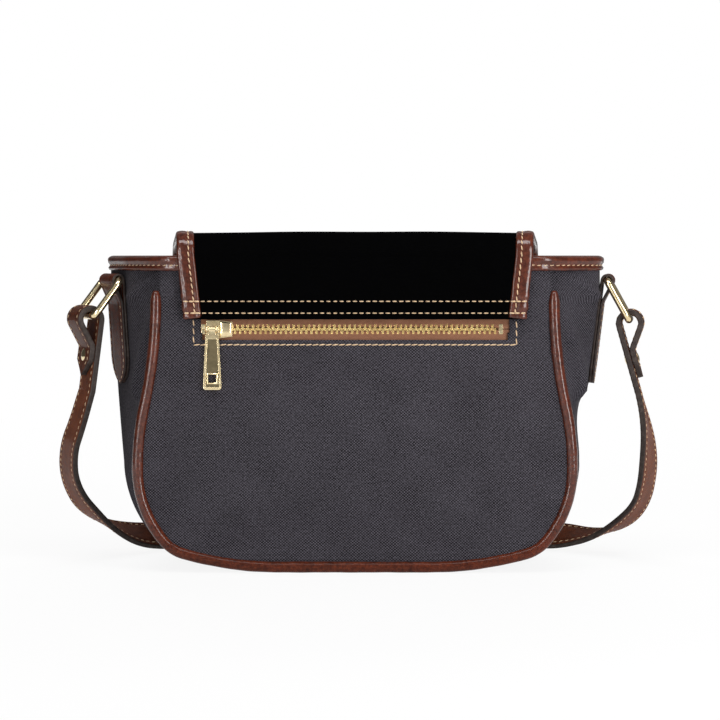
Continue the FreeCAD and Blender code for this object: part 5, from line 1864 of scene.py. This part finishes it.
@dataclass
class Studio:
    """Floor, lights and camera."""

    camera_across: float = 2.9
    camera_back: float = -1196.0
    camera_height: float = 183.0
    aim_height: float = 124.0
    aim_depth: float = -40.0
    lens: float = 100.0
    sensor: float = 36.0
    ambient: float = 0.19
    card_height: float = 1800.0
    fade_start: float = 350.0
    fade_end: float = 1100.0
    floor_white: float = 0.89
    lamps: tuple[Lamp, ...] = (
        Lamp("left_softbox", (-600, -860, 410), (190, 800), 1.1, mirrored=False),
        Lamp("left_glint", (-600, -860, 410), (300, 800), 12.0, spread=False),
        Lamp("right_softbox", (620, -740, 410), (260, 800), 5.7),
        Lamp("top_softbox", (0, -450, 1200), (1300, 300), 8.8, (0, 0, 90)),
        Lamp("front_softbox", (0, 1150, 900), (1500, 500), 12.0, (0, 40, 90), mirrored=False),
    )
    cards: tuple[Card, ...] = (
        Card("grey_card", (0, -1900), 2200.0, grey=0.32),
        Card("back_card", (0, 1900), 3400.0, grey=0.2),
        Card("left_card", (-1400, 300), 2600.0, grey=0.06, turn=90.0),
        Card("right_card", (1400, 300), 2600.0, grey=0.2, turn=90.0),
        Card("ceiling_card", (0, -300), 2800.0, grey=0.2, overhead=True),
    )

    def build(self) -> None:
        """Makes the floor, the lights and the camera."""
        self.make_floor()
        self.make_world()
        for lamp in self.lamps:
            self.make_light(lamp)
        for card in self.cards:
            self.make_card(card)
        self.make_camera()

    def make_card(self, card: Card) -> None:
        """Makes one grey card, which keeps the leather's and metal's reflections from washing out.

        Args:
            card: The card's place and shade.
        """
        up = self.card_height if card.overhead else self.card_height / 2
        lean = 0.0 if card.overhead else math.pi / 2
        bpy.ops.mesh.primitive_plane_add(size=1, location=(card.place[0] * MM, card.place[1] * MM, up * MM),
                                         rotation=(lean, 0, math.radians(card.turn)))
        item = bpy.context.object
        item.name = card.name
        deep = 2 * self.card_height if card.overhead else self.card_height
        item.scale = (card.width * MM, deep * MM, 1)
        graph = NodeGraph(card.name)
        graph.dress(Base_Color=(0.0, 0.0, 0.0), Roughness=1.0, Specular_IOR_Level=0.0,
                    Emission_Color=(card.grey,) * 3, Emission_Strength=1.0)
        item.data.materials.append(graph.material)
        item.visible_camera = False

    def make_floor(self) -> None:
        """Makes a pale floor that fades into the backdrop."""
        bpy.ops.mesh.primitive_plane_add(size=8)
        floor = bpy.context.object
        floor.name = "studio_floor"
        graph = NodeGraph("pale_floor")
        graph.dress(Base_Color=(0.9, 0.9, 0.9), Roughness=0.9, Specular_IOR_Level=0.1)
        place = graph.space()
        reach = graph.add("ShaderNodeVectorMath", {0: place}, operation="LENGTH").outputs["Value"]
        fade = graph.spread(reach, self.fade_start, self.fade_end)
        rays = graph.add("ShaderNodeLightPath").outputs
        white = graph.add("ShaderNodeEmission", {"Color": (1.0, 1.0, 1.0), "Strength": 1.0}).outputs[0]
        mirrored = graph.math("MAXIMUM", rays["Is Glossy Ray"], rays["Is Transmission Ray"])
        seen = graph.math("MULTIPLY", graph.math("MAXIMUM", rays["Is Camera Ray"], mirrored),
                          graph.spread(fade, 0.0, 1.0, self.floor_white, 1.0))
        blend = graph.add("ShaderNodeMixShader", {0: seen, 1: graph.shader.outputs[0], 2: white})
        graph.tree.links.new(blend.outputs[0], graph.tree.nodes["Material Output"].inputs[0])
        floor.data.materials.append(graph.material)

    def make_world(self) -> None:
        """Makes a white backdrop and soft light from all round."""
        world = bpy.data.worlds.new("studio")
        bpy.context.scene.world = world
        world.use_nodes = True
        nodes, links = world.node_tree.nodes, world.node_tree.links
        rays = nodes.new("ShaderNodeLightPath").outputs
        seen = rays["Is Camera Ray"]
        for ray in ("Is Glossy Ray", "Is Transmission Ray"):
            either = nodes.new("ShaderNodeMath")
            either.operation = "MAXIMUM"
            links.new(seen, either.inputs[0])
            links.new(rays[ray], either.inputs[1])
            seen = either.outputs[0]
        strength = nodes.new("ShaderNodeMapRange")
        links.new(seen, strength.inputs["Value"])
        strength.inputs["To Min"].default_value = self.ambient
        strength.inputs["To Max"].default_value = 1.0
        background = nodes["Background"]
        background.inputs["Color"].default_value = (1.0, 1.0, 1.0, 1.0)
        links.new(strength.outputs[0], background.inputs["Strength"])

    def make_light(self, lamp: Lamp) -> None:
        """Makes one soft lamp.

        Args:
            lamp: The lamp's place, size and power.
        """
        light = bpy.data.lights.new(lamp.name, "AREA")
        light.shape = "RECTANGLE"
        light.size, light.size_y = lamp.size[0] * MM, lamp.size[1] * MM
        light.energy = lamp.power
        item = bpy.data.objects.new(lamp.name, light)
        bpy.context.scene.collection.objects.link(item)
        item.visible_camera, item.visible_glossy, item.visible_diffuse = False, lamp.mirrored, lamp.spread
        self.aim(item, lamp.place, lamp.target)

    def make_camera(self) -> None:
        """Sets the camera at the photograph's angle."""
        lens = bpy.data.cameras.new("camera")
        lens.lens, lens.sensor_width = self.lens, self.sensor
        item = bpy.data.objects.new("camera", lens)
        bpy.context.scene.collection.objects.link(item)
        self.aim(item, (self.camera_across, self.camera_back, self.camera_height),
                 (self.camera_across, self.aim_depth, self.aim_height))
        bpy.context.scene.camera = item

    @staticmethod
    def aim(item: bpy.types.Object, place: Sequence[float], target: Sequence[float]) -> None:
        """Sets an object at a place and turns it towards a target.

        Args:
            item: The object.
            place: Where it stands, in millimetres.
            target: What it looks at.
        """
        start, end = Vector(place) * MM, Vector(target) * MM
        item.location = start
        item.rotation_mode = "QUATERNION"
        item.rotation_quaternion = (end - start).to_track_quat("-Z", "Y")


def side_frames() -> tuple[SideFrame, SideFrame]:
    """The left and right frames, placed by the rings' hinges.

    Returns:
        The left frame, then the right one.
    """
    places = {joint["name"]: np.array(joint["pos_m"]) / MM for joint in frame["joints"] if "pos_m" in joint}
    left = SideFrame(Side.LEFT, yaw=27.0, pivot=places["left_ring_swing"], ring_lean=38.0, arm_lean=8.0,
                     spread=7.0, arm_reach=174.0, arm_bend=48.0, flip=(0.48, 0.85))
    right = SideFrame(Side.RIGHT, yaw=9.0, pivot=places["right_ring_swing"], ring_lean=29.0, arm_lean=16.0,
                      spread=12.0, arm_reach=178.0, arm_bend=37.0, flip=(0.55, 0.95))
    return left, right


def main() -> None:
    """Builds the bag's pieces in order, then the studio."""
    logging.basicConfig(level=logging.INFO, format="%(name)s %(message)s")
    left, right = side_frames()
    for assembly in (Shell(), ZipPocket(), Flap(), SideTab(left), SideTab(right), Strap(left, right), Studio()):
        LOG.info("building %s", type(assembly).__name__)
        assembly.build()
    bpy.context.scene.view_settings.view_transform = "Standard"


if __name__ == "__main__":
    main()
